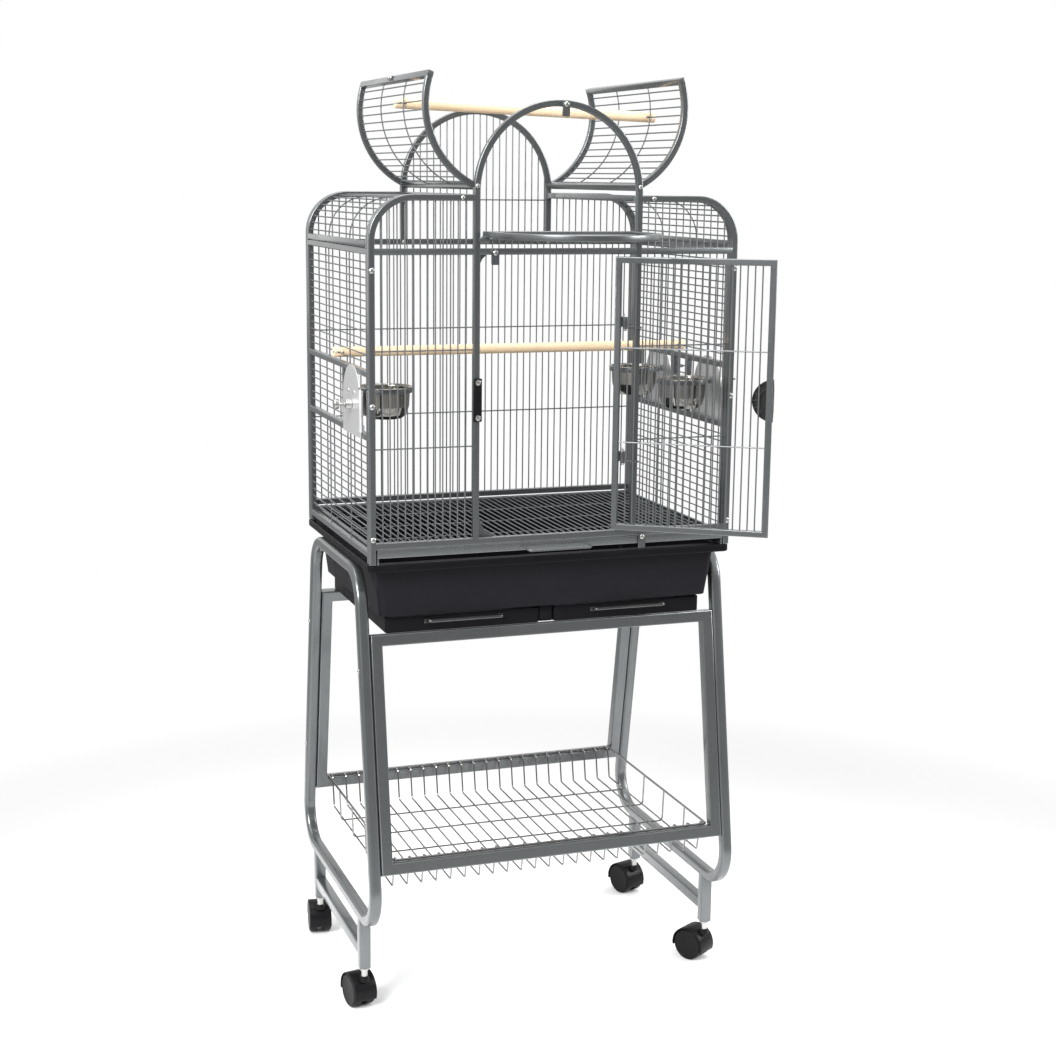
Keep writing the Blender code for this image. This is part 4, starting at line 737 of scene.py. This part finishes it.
def door_lock():
    """A D-shaped handle with a stepped, ribbed front and an open back, where ribs join a ring to the rim."""
    x = -DOOR_X + HALF
    straight = x - HALF
    back = -HALF - 0.0075
    ring = LOCK_R * 0.66
    layers = [([half_disc(LOCK_R), half_disc(LOCK_R - 0.0030, 0.0014)], 0.004, 0.002, 0.0004),
              ([half_disc(LOCK_R - 0.0015, 0.0007)], 0.0014, 0.0033, 0.0003),
              ([half_disc(ring, 0.0007, 30), half_disc(ring - 0.0028, 0.0021, 30)], 0.0032, 0.0018, 0.0003)]
    for angle in range(-66, 67, 22):
        ray = Vector((math.cos(math.radians(angle)), math.sin(math.radians(angle))))
        across = Vector((-ray.y, ray.x)) * 0.0007
        near, far = ray * (LOCK_R * 0.63), ray * (LOCK_R - 0.0015)
        layers.append(([[near - across, far - across, far + across, near + across]], 0.0030, 0.0018, 0.0003))
    layers += [([half_disc(LOCK_R * 0.80)], 0.005, 0.0055, 0.0008),
               ([half_disc(LOCK_R * 0.58)], 0.005, 0.0095, 0.0008)]
    parts = [outline(loops, thickness, place=(straight, back - depth, LOCK_Z), edge=edge)
             for loops, thickness, depth, edge in layers]
    ribs = []
    for z in spread(-LOCK_R * 0.50, LOCK_R * 0.50, 7):
        reach = math.sqrt((LOCK_R * 0.54) ** 2 - z ** 2)
        ribs.append(((straight + 0.0015, back - 0.0128, LOCK_Z + z - 0.0007),
                     (straight + reach - 0.0015, back - 0.0118, LOCK_Z + z + 0.0007)))
    parts.append(boxes(ribs, 0.0003))
    end = back + HALF + GAP
    pin = [(0, 0.001), (0.0035, 0.001), (0.0035, end), (0, end)]
    parts.append(lathe(pin, (x, back, LOCK_Z), PLANE_XZ, 20))
    piece("lock_handle", parts, "gloss", "door_lock", DOOR_SWING, ["door_lock"])


def keeper():
    half, back = 0.0065, -HALF - GAP
    front = back - 0.006
    low, high = LOCK_Z - LOCK_R, LOCK_Z + LOCK_R
    block = boxes([((-ARCH - half, front, low), (-ARCH + half, back, high))], 0.0012, 3)
    piece("lock_keeper_block", [block], "plastic", nodes=["lock_keeper"])
    profile = [(0, 0.0007), (0.0030, 0.0007), (0.0042, 0.0002), (0.0042, 0), (0, 0)]
    heads = [lathe(profile, (-ARCH, front - GAP, z), PLANE_XZ, 20) for z in (high - 0.006, low + 0.006)]
    piece("keeper_screw_heads", heads, "zinc", nodes=["keeper_screw_upper", "keeper_screw_lower"])


# Turn buttons

def turn_button(key, x, y, z, rider):
    top, foot, half = z + 0.0055, z - 0.0185, 0.00625
    face = y - GAP
    tab = outline([rounded(x - half, x + half, foot, top, 0.0022, 4)], 0.0018,
                  place=(0, face - 0.0009, 0), edge=0.0003)
    leg = boxes([((x - half, face - 0.0034, foot + 0.001), (x - half + 0.0016, face - 0.0010, top - 0.002))],
                0.0004)
    piece("button_%s_tab" % key, [tab, leg], "tube", "turn_button_" + key, nodes=["turn_button_" + key])
    head = [(0, 0.0031), (0.0026, 0.0029), (0.0041, 0.0016), (0.0042, 0), (0, 0)]
    bolt = lathe(head, (x, face - 0.0020 - GAP, z), PLANE_XZ, 24, 0.0010)
    piece("button_%s_bolt" % key, [bolt], "zinc", rider, nodes=["turn_bolt_" + key])


# Hopper, drawers and grate

def tapered(top, bottom, edge):
    """A block whose top and bottom rectangles differ, with its upright edges rounded."""
    shape = bmesh.new()
    bmesh.ops.create_cube(shape, size=2)
    for corner in shape.verts:
        half, front, back, z = top if corner.co.z > 0 else bottom
        corner.co = (half * corner.co.x, back if corner.co.y > 0 else front, z)
    upright = [e for e in shape.edges if abs(e.verts[0].co.z - e.verts[1].co.z) > 0.01]
    bmesh.ops.bevel(shape, geom=upright, offset=edge, segments=5, profile=0.5, affect="EDGES")
    return finished(shape)


LIP_H = 0.0125
BODY_H = 0.077
WALL = 0.003
FLOOR = LIP_TOP - LIP_H - BODY_H
DRAWERS = ((-0.2708, -0.0124), (0.0124, 0.2708))


def hopper():
    """A funnel under a broad lip, with an opening in its floor over each drawer."""
    front, back = -0.0045, DEPTH + 0.0045
    walls = []
    for inset, top, bottom, edge in ((0, LIP_TOP - WALL, FLOOR, 0.012),
                                     (WALL, LIP_TOP + WALL, FLOOR + WALL, 0.010)):
        upper, lower = 0.0178 + inset, 0.0301 + inset
        walls.append(tapered((0.2906 - inset, front + upper, back - upper, top),
                             (0.2812 - inset, front + lower, back - lower, bottom), edge))
    chutes = boxes([((x0 + 0.008, 0.0405, FLOOR - 0.01), (x1 - 0.008, 0.3695, FLOOR + 0.01))
                    for x0, x1 in DRAWERS])
    rim = rounded(-0.307, 0.307, front, back, 0.010)
    throat = rounded(-0.287, 0.287, front + 0.020, back - 0.020, 0.008)
    lip = outline([rim, throat], LIP_H, PLANE_XY, (0, 0, LIP_TOP - LIP_H / 2), 0.0026, 4)
    piece("hopper_funnel", [carved(carved(*walls), chutes)], "tray", nodes=["hopper"])
    runner = boxes([((-0.0112, 0.0375, FLOOR - 0.0290), (0.0112, 0.3725, FLOOR + 0.0015))], 0.0008)
    piece("hopper_lip", [lip, runner], "tray")


DRAWER_TOP = FLOOR - 0.0045
DRAWER_H = 0.0245
HANDLE_HALF = 0.062
HANDLE_OUT = 0.014


def drawer(side):
    word = HANDS[side]
    x0, x1 = DRAWERS[side > 0]
    y0, y1 = 0.0325, 0.3775
    bottom = DRAWER_TOP - DRAWER_H
    loops = [rounded(x0, x1, y0, y1, 0.006), rounded(x0 + 0.002, x1 - 0.002, y0 + 0.004, y1 - 0.002, 0.004)]
    wall = outline(loops, DRAWER_H, PLANE_XY, (0, 0, DRAWER_TOP - DRAWER_H / 2), 0.0007)
    sheet = rounded(x0 + 0.0008, x1 - 0.0008, y0 + 0.0008, y1 - 0.0008, 0.005)
    floor = outline([sheet], 0.002, PLANE_XY, (0, 0, bottom + 0.0010), 0.0003)
    body = "drawer_" + word
    piece("drawer_%s_tray" % word, [wall, floor], "tray", body, nodes=[body])
    x, z = (x0 + x1) / 2, DRAWER_TOP - 0.006
    ends = [x - HANDLE_HALF, x + HANDLE_HALF]
    near, out = y0 + 0.001, y0 - HANDLE_OUT
    corners = [(ends[0], near, z - 0.003), (ends[0], out, z), (ends[1], out, z), (ends[1], near, z - 0.003)]
    path = bent(corners, 0.009, 8)
    feet = boxes([((end - 0.0042, y0 - 0.0012, z - 0.0062), (end + 0.0042, y0 + 0.0005, z + 0.0008))
                  for end in ends], 0.0005)
    piece("drawer_%s_handle" % word, [rods([path], 0.0028, resolution=4), feet], "gloss", body)


GRATE_TOP = LOW_RAIL - HALF - 0.0010
GRATE_X = SIDE_X - HALF - 0.0015


def grate():
    back = DEPTH - HALF - 0.0010
    middle = GRATE_TOP - 0.0064
    edge = rectangle(-GRATE_X, GRATE_X, -HALF, back)
    hole = rectangle(-GRATE_X + 0.003, GRATE_X - 0.003, HALF, back - TUBE)
    parts = [outline([edge, hole], 0.0128, PLANE_XY, (0, 0, middle), 0.0009)]
    seat = LIP_TOP + GAP
    skids = [((side * (GRATE_X - 0.0028), -HALF + 0.001, seat),
              (side * (GRATE_X - 0.0002), back - 0.001, middle)) for side in HANDS]
    skids.append(((-GRATE_X + 0.0004, back - 0.0030, seat), (GRATE_X - 0.0004, back - 0.0004, middle)))
    parts.append(boxes(skids, 0.0004))
    piece("grate_tube", parts, "tube", "grate", nodes=["grate"])
    half, out, low = 0.0535, -HALF - 0.024, middle - 0.003
    handle = bent([(-half, 0, middle), (-half, out, low), (half, out, low), (half, 0, middle)], 0.008, 8)
    z = GRATE_TOP - 0.0022
    count = round(2 * (GRATE_X - 0.003) / PITCH) - 1
    lengthwise = [[(x, 0, z), (x, back - HALF, z)] for x in spread(-GRATE_X + 0.003, GRATE_X - 0.003, count)]
    under, end = z - WIRE_STEP, GRATE_X - 0.001
    across = [[(-end, y, under), (end, y, under)] for y in spread(0, back, 3)]
    piece("grate_wire", [rods(lengthwise + across), rods([handle], 0.0019, resolution=4)], "wire", "grate")


# Feeders

BOWL_X = 0.2555
BOWL_Y = 0.0880
BOWL_Z = RAIL - 0.2120
BOWL_R = 0.0450
BOWL_H = 0.050
BOWL_BORE = 0.0398
# From the inside's middle up to the rim, and from the rim down to the foot's middle
BOWL = [(0, -BOWL_H + 0.001), (BOWL_BORE - 0.0130, -BOWL_H + 0.001), (BOWL_BORE - 0.0065, -BOWL_H * 0.87),
        (BOWL_BORE - 0.0026, -BOWL_H * 0.62), (BOWL_BORE - 0.0010, -0.003), (BOWL_BORE + 0.0010, -0.0004),
        (BOWL_R - 0.0012, 0), (BOWL_R, -0.0009), (BOWL_R - 0.0008, -0.0017), (BOWL_BORE + 0.001, -0.0014),
        (BOWL_BORE, -0.004), (BOWL_BORE - 0.0016, -BOWL_H * 0.62), (BOWL_BORE - 0.0055, -BOWL_H * 0.88),
        (BOWL_BORE - 0.0125, -BOWL_H), (0, -BOWL_H)]
KNOB = [(0, 0.028), (0.0078, 0.028), (0.0080, 0.0205), (0.003, 0.019), (0.003, 0.011), (0.008, 0.0095),
        (0.008, 0.0), (0, 0.0)]


def feeder(key, side, start):
    shift = start - WINDOW_FRONT
    face = SIDE_X + HALF + SEAT
    plate_x = side * (face + 0.001)
    pin_y = start - TUBE + FEEDER_PIN
    centre = 0.0960 + shift
    radius = 0.055
    low = RAIL - 0.2870
    strap = BAR_LOW + 0.018
    edge = [(centre + radius, low)] + arc(centre, RAIL - 0.177 - radius, radius, 0, 180, 40)
    edge += [(centre - radius, strap), (pin_y, strap), (pin_y, strap - 0.008),
             (centre - radius, strap - 0.008), (centre - radius, low)]
    plate = outline([edge], 0.002, PLANE_YZ, (plate_x, 0, 0), 0.0005)
    pin_x = side * (SIDE_X + HALF + 0.0055)
    top, bottom = BAR_UP - 0.0240 - GAP, BAR_LOW + 0.008
    profile = [(0, top), (0.0033, top), (0.0033, bottom), (0, bottom)]
    barrel = lathe(profile, (pin_x + side * 0.0003, pin_y, 0), PLANE_XY, 20, 0.0006, 2)
    body = "feeder_door_" + key
    piece("feeder_%s_plate" % key, [plate, barrel], "plate", body, nodes=[body])
    y = BOWL_Y + shift
    ring_z, ring_r = BOWL_Z - 0.0057, BOWL_R - 0.0021
    loops = [arc(0, 0, ring_r + 0.0010, 0, 354, 59), arc(0, 0, ring_r - 0.0008, 0, 354, 59)]
    band = outline(loops, 0.0068, PLANE_XY, (side * BOWL_X, y, ring_z), 0.0004)
    arms = []
    for offset in (-0.020, 0.020):
        reach = math.sqrt(ring_r ** 2 - offset ** 2)
        arms.append(((side * (BOWL_X + reach - 0.0005), y + offset - 0.002, ring_z - 0.003),
                     (plate_x, y + offset + 0.002, ring_z + 0.003)))
    piece("feeder_%s_ring" % key, [band, boxes(arms, 0.0005)], "tube", body)
    screws = [bolt_head((side * (face + 0.002), centre + offset, RAIL - 0.2195), sideways(side))
              for offset in (-0.0185, 0.0185)]
    piece("feeder_%s_screws" % key, screws, "zinc", body)
    knob = lathe(KNOB, (side * (face + 0.002 + GAP), centre, RAIL - 0.239), sideways(side), 36, 0.0009)
    piece("thumbscrew_%s_knob" % key, [knob], "zinc", "thumbscrew_" + key, nodes=["thumbscrew_" + key])
    bowl = lathe(BOWL, (side * BOWL_X, y, BOWL_Z), PLANE_XY, 64, 0.0035, 4)
    piece("bowl_%s_steel" % key, [bowl], "steel", "bowl_" + key, nodes=["bowl_" + key])


# Perches

PERCH_R = 0.0082
LOW_PERCH_Y = 0.2043
TOP_PERCH_Y = 0.1494


def perch(name, node, left, right, y, body):
    """A dowel, slotted at both ends, between two wires given by X and Z."""
    run = Vector((right[0] - left[0], 0, right[1] - left[1]))
    middle = Vector(((left[0] + right[0]) / 2, y, (left[1] + right[1]) / 2))
    half = run.length / 2 + 0.009
    turn = Matrix.Rotation(math.atan2(run.x, run.z), 4, "Y")
    rod = lathe([(0, half), (PERCH_R, half), (PERCH_R, -half), (0, -half)], steps=40, edge=0.0010)
    slots = boxes([((-0.0016, -0.02, way * (half - 0.0175)), (0.0016, 0.02, way * (half + 0.01)))
                   for way in (-1, 1)], 0.0003)
    piece(name, [carved(rod, slots)], "birch", body, Matrix.Translation(middle) @ turn, [node])


def flap_wire(number):
    """X and Z of one straight wire of an open flap, on the right."""
    x, z = FLAP_SPOTS[number - 1]
    x, z = x - FLAP_X, z - FLAP_HINGE_Z
    turn = math.radians(FLAP_OPEN)
    return (FLAP_X + x * math.cos(turn) + z * math.sin(turn),
            FLAP_HINGE_Z - x * math.sin(turn) + z * math.cos(turn))


def perches():
    z = spread(BAR_UP + HALF, RAIL - HALF, round((RAIL - BAR_UP - TUBE) / PITCH) - 1)[0]
    x = SIDE_X + WIRE_OUT
    perch("low_perch_dowel", "low_perch", (-x, z), (x, z), LOW_PERCH_Y, ROOT)
    left, right = flap_wire(12), flap_wire(11)
    perch("top_perch_dowel", "top_perch", (-left[0], left[1]), right, TOP_PERCH_Y, "top_perch")


# Stand

STAND = 0.019
STAND_HALF = STAND / 2
STAND_X = 0.306
STAND_MID = 0.2040
LOOP_TOP = LIP_TOP - LIP_H - GAP - STAND_HALF
LOOP_BOTTOM = RAIL - 1.070
LOOP_TOP_HALF = 0.148
LOOP_BOTTOM_HALF = 0.243
BEND = 0.060
LEAN = math.atan2(LOOP_BOTTOM_HALF - LOOP_TOP_HALF, LOOP_TOP - LOOP_BOTTOM)
FOOT_HALF = 0.1572
FOOT_BOTTOM = RAIL - 1.162
FOOT_BAR = RAIL - 1.131
FRAME_TOP = FLOOR - DRAWER_H - 0.0050
FRAME_BOTTOM = RAIL - 0.980
FRAME_X = STAND_X - STAND_HALF - SEAT


def leg_y(way, z):
    """Where the middle of a loop's leg is at the height z: -1 for the front leg, 1 for the rear one."""
    return STAND_MID + way * (LOOP_TOP_HALF + (LOOP_TOP - z) * math.tan(LEAN))


def loop_edge(offset):
    lower = BEND / math.tan((math.pi / 2 - LEAN) / 2)
    upper = BEND / math.tan((math.pi / 2 + LEAN) / 2)
    angle = math.degrees(LEAN)
    half = arc(LOOP_BOTTOM_HALF - lower, LOOP_BOTTOM + BEND, BEND + offset, -90, angle, 18)
    half += arc(LOOP_TOP_HALF - upper, LOOP_TOP - BEND, BEND + offset, angle, 90, 16)
    return [(STAND_MID + y, z) for y, z in half] + [(STAND_MID - y, z) for y, z in half][::-1]


def stand():
    for side, word in HANDS.items():
        x0, x1 = side * STAND_X - STAND_HALF, side * STAND_X + STAND_HALF
        loops = [loop_edge(STAND_HALF), loop_edge(-STAND_HALF)]
        loop = outline(loops, STAND, PLANE_YZ, (side * STAND_X, 0, 0), 0.0055, 4)
        posts = []
        for y in (STAND_MID - FOOT_HALF, STAND_MID + FOOT_HALF):
            posts.append(((x0 + 0.0002, y - STAND_HALF, FOOT_BOTTOM),
                          (x1 - 0.0002, y + STAND_HALF, LOOP_BOTTOM)))
        posts.append(((x0 + 0.0005, STAND_MID - FOOT_HALF, FOOT_BAR - STAND_HALF),
                      (x1 - 0.0005, STAND_MID + FOOT_HALF, FOOT_BAR + STAND_HALF)))
        node = "stand_loop_" + word
        piece(node + "_tube", [loop, boxes(posts, 0.0022, 3)], "tube", nodes=[node])
    rise = (STAND_HALF + STAND_HALF * math.tan(LEAN)) * math.cos(LEAN)
    top, bottom = FRAME_TOP - rise, FRAME_BOTTOM + rise
    height = (top - bottom) / math.cos(LEAN) + STAND
    z = (top + bottom) / 2
    for key, way in (("front", -1), ("rear", 1)):
        edge = rectangle(-FRAME_X, FRAME_X, -height / 2, height / 2)
        hole = rectangle(-FRAME_X + STAND, FRAME_X - STAND, -height / 2 + STAND, height / 2 - STAND)
        turn = Matrix.Rotation(way * LEAN, 4, "X") @ PLANE_XZ
        tube = outline([edge, hole], STAND, turn, (0, leg_y(way, z), z), 0.0024)
        piece("stand_frame_%s_tube" % key, [tube], "tube", nodes=["stand_frame_" + key])


SHELF_X = 0.2740
SHELF_RIM = FRAME_BOTTOM + STAND * (math.cos(LEAN) + math.sin(LEAN)) + 0.0020 - 0.0014
SHELF_FLOOR = SHELF_RIM - 0.053
SHELF_WIRES = 23
SHELF_PITCH = 0.0244
SHELF_WIRE_R = 0.0015


def storage_shelf():
    reach = LOOP_TOP_HALF + (LOOP_TOP - SHELF_RIM) * math.tan(LEAN) - 0.003
    front, back = STAND_MID - reach, STAND_MID + reach
    corners = [(x, y, SHELF_RIM) for x, y in rectangle(-SHELF_X, SHELF_X, front, back)]
    rim = rods([bent(corners, 0.008, closed=True)], 0.0020, closed=True, resolution=3)
    lengthwise = []
    for k in range(SHELF_WIRES):
        x = (k - SHELF_WIRES // 2) * SHELF_PITCH
        path = [(x, front, SHELF_RIM + 0.001), (x, front + 0.0125, SHELF_RIM),
                (x, front + 0.023, SHELF_FLOOR), (x, back - 0.023, SHELF_FLOOR),
                (x, back - 0.0125, SHELF_RIM), (x, back, SHELF_RIM + 0.001)]
        lengthwise.append(bent(path, 0.005, 5))
    low = SHELF_FLOOR - 0.0029
    across = []
    for y in spread(front, back, 4):
        path = [(-SHELF_X, y, SHELF_RIM), (-SHELF_X + 0.002, y, low),
                (SHELF_X - 0.002, y, low), (SHELF_X, y, SHELF_RIM)]
        across.append(bent(path, 0.008))
    piece("shelf_wire", [rim, rods(lengthwise + across, SHELF_WIRE_R)], "chrome", nodes=["storage_shelf"])


# Castors

WHEEL_R = 0.027
TRAIL = 0.022
HOOD_R = 0.0305
TURNS = {"front_left": 100.7, "front_right": 121.0, "rear_left": 82.0, "rear_right": 108.5}
LOOP_BOLTS = (RAIL - 0.655, RAIL - 0.891)
ROOF_BOLT_X = 0.157
POST_SCREWS = (("upper", RAIL - 0.0277), ("middle", RAIL - 0.2330), ("lower", RAIL - 0.4390))


def castor(key):
    x = (-1 if "left" in key else 1) * STAND_X
    y = STAND_MID + (-1 if "front" in key else 1) * FOOT_HALF
    top = WHEEL_R + HOOD_R
    swivel = about((x, y, 0), "Z", TURNS[key] - 90)
    stem = [(0, FOOT_BOTTOM - GAP), (0.0080, FOOT_BOTTOM - GAP), (0.0080, FOOT_BOTTOM - 0.003),
            (0.0056, FOOT_BOTTOM - 0.0032), (0.0056, top + 2 * GAP), (0, top + 2 * GAP)]
    stem = lathe(stem, (x, y, 0), PLANE_XY, 28, 0.0006)
    piece("castor_%s_stem" % key, [stem], "zinc", nodes=["castor_stem_" + key])
    place = (x, y + TRAIL, WHEEL_R)
    band = arc(0, 0, HOOD_R, -12, 200, 40) + arc(0, 0, HOOD_R - 0.0022, 200, -12, 40)
    fender = outline([band], 0.039, PLANE_YZ, place, 0.0008)
    disc = arc(0, 0, HOOD_R - 0.0011, -10, 198, 40) + arc(0, 0, 0.009, 230, 300, 8)
    web = outline([disc, arc(0, 0, 0.0034, 0, 340, 17)], 0.006, PLANE_YZ, place, 0.0006)
    boss = [(0, top + GAP), (0.0078, top + GAP), (0.0090, top - 0.008), (0, top - 0.008)]
    boss = lathe(boss, (x, y, 0), PLANE_XY, 28, 0.001)
    node = "castor_hood_" + key
    piece("castor_%s_hood" % key, [fender, web, boss], "plastic", node, swivel, [node])
    half, face = 0.0195, 0.0045
    discs = [(0, half - 0.0006), (0.0222, half - 0.0006), (0.0228, half), (WHEEL_R - 0.0005, half - 0.0012),
             (WHEEL_R, half - 0.004), (WHEEL_R, face + 0.001), (WHEEL_R - 0.001, face), (0.003, face)]
    discs += [(radius, -height) for radius, height in discs[::-1]]
    wheel = lathe(discs, place, sideways(1), edge=0.0012)
    node = "castor_wheel_" + key
    piece("castor_%s_wheel" % key, [wheel], "tread", node, swivel, [node])


def bolts():
    """Small heads on the loops' outer faces, at the ends of the flaps' hinge bars and on the roof's front."""
    heads = []
    for side in HANDS:
        for z in LOOP_BOLTS:
            for way in (-1, 1):
                place = (side * (STAND_X + STAND_HALF), leg_y(way, z), z)
                heads.append(bolt_head(place, sideways(side)))
        for x, y, z in ((ARCH, -HALF, FLAP_HINGE_Z), (ARCH, DEPTH - HALF, FLAP_HINGE_Z),
                        (ROOF_BOLT_X, -HALF, TOP_RAIL), (ARCH, DEPTH - HALF, RAIL)):
            heads.append(bolt_head((side * x, y, z), PLANE_XZ))
    piece("frame_bolts", heads, "zinc")


def post_screws():
    heads, nodes = [], []
    profile = [(0, 0.0026), (0.0028, 0.0023), (0.0044, 0.0010), (0.0045, 0), (0, 0)]
    for side, word in HANDS.items():
        for level, z in POST_SCREWS:
            heads.append(lathe(profile, (side * SIDE_X, -HALF - GAP, z), PLANE_XZ, 24, 0.0009))
            nodes.append("post_screw_%s_%s" % (word, level))
    piece("post_screw_heads", heads, "zinc", nodes=nodes)


# Studio

# Each with its place, its size in metres and its power in watts
LIGHTS = (("key", (-2.8, -2.2, 3.0), 1.9, 240), ("fill", (3.2, -1.4, 2.2), 1.6, 100),
          ("top", (0.2, 0.4, 4.2), 2.6, 90))


def studio():
    """The camera sees white all round; the metal reflects a world that is darker below and in front."""
    world = bpy.data.worlds.new("studio")
    bpy.context.scene.world = world
    world.use_nodes = True
    sky = Nodes(world.node_tree)
    parts = sky.node("SeparateXYZ", {0: sky.node("TexCoord", output="Generated")}).socket.node
    raised = Value(sky, parts.outputs["Y"]) + Value(sky, parts.outputs["Z"])
    fade = sky.node("MapRange", {"Value": raised, "From Min": -0.9, "From Max": 0.4, "To Min": 0.26,
                                 "To Max": 0.95})
    shade = fade.maths("MAXIMUM", sky.node("LightPath", output="Is Camera Ray"))
    sky.tree.links.new(shade.socket, sky.tree.nodes["Background"].inputs["Color"])
    floor = Paint("studio_floor")
    spot = floor.node("NewGeometry", output="Position")
    # Far from the cage the floor is painted dark, a painted shade that only reflections and bounced light see;
    # to the camera that far part glows white instead.
    far = floor.band(floor.node("VectorMath", {0: spot}, "Value", operation="LENGTH"), 0.5, 1.6)
    floor.set("Base Color", floor.mix(far, (0.90, 0.90, 0.90, 1), (0.28, 0.28, 0.28, 1)))
    floor.set("Roughness", 0.8)
    blend = floor.node("MixShader", {0: far * floor.node("LightPath", output="Is Camera Ray"),
                                     1: Value(floor, floor.shader.outputs[0]), 2: floor.node("Emission")})
    floor.tree.links.new(blend.socket, floor.tree.nodes["Material Output"].inputs["Surface"])
    bpy.ops.mesh.primitive_plane_add(size=30, location=(0, 0, 0))
    ground = bpy.context.object
    ground.name = "studio_ground"
    ground.data.materials.append(floor.material)
    for name, place, size, power in LIGHTS:
        light = bpy.data.lights.new(name, "AREA")
        light.size = size
        light.energy = power
        lamp = linked(name, light)
        lamp.location = place
        aim = Vector((0, 0, 0.8)) - Vector(place)
        lamp.rotation_euler = aim.to_track_quat("-Z", "Y").to_euler()


def camera():
    """The camera stands where the photograph was taken from."""
    data = bpy.data.cameras.new("camera")
    data.sensor_fit = "HORIZONTAL"
    data.sensor_width = 36
    data.lens = 61.73
    made = linked("camera", data)
    matrix = Matrix.Translation((-0.9967, -2.6562 + FRONT_Y, RAIL + 0.1104))
    for angle, axis in ((-0.34385, "Z"), (math.pi / 2 - 0.19075, "X"), (0.01062, "Z")):
        matrix = matrix @ Matrix.Rotation(angle, 4, axis)
    made.matrix_world = matrix
    bpy.context.scene.camera = made


front_panel()
back_panel()
for hand in HANDS:
    side_panel(hand)
    roof_panel(hand)
    top_flap(hand)
    drawer(hand)
dome_flap()
front_door()
door_lock()
keeper()
turn_button("dome", 0.007, -HALF, ARCH_Z + ARCH - 0.0015, ROOT)
turn_button("door", -0.1056, -0.0048, RAIL - 0.0018, ROOT)
turn_button("grate", 0.148, -HALF, GRATE_TOP - 0.0015, "grate")
hopper()
grate()
for feeder_key, hand, window_start in FEEDERS:
    feeder(feeder_key, hand, window_start)
perches()
stand()
storage_shelf()
for castor_key in TURNS:
    castor(castor_key)
post_screws()
bolts()
studio()
camera()
bpy.context.scene.view_settings.view_transform = "Standard"
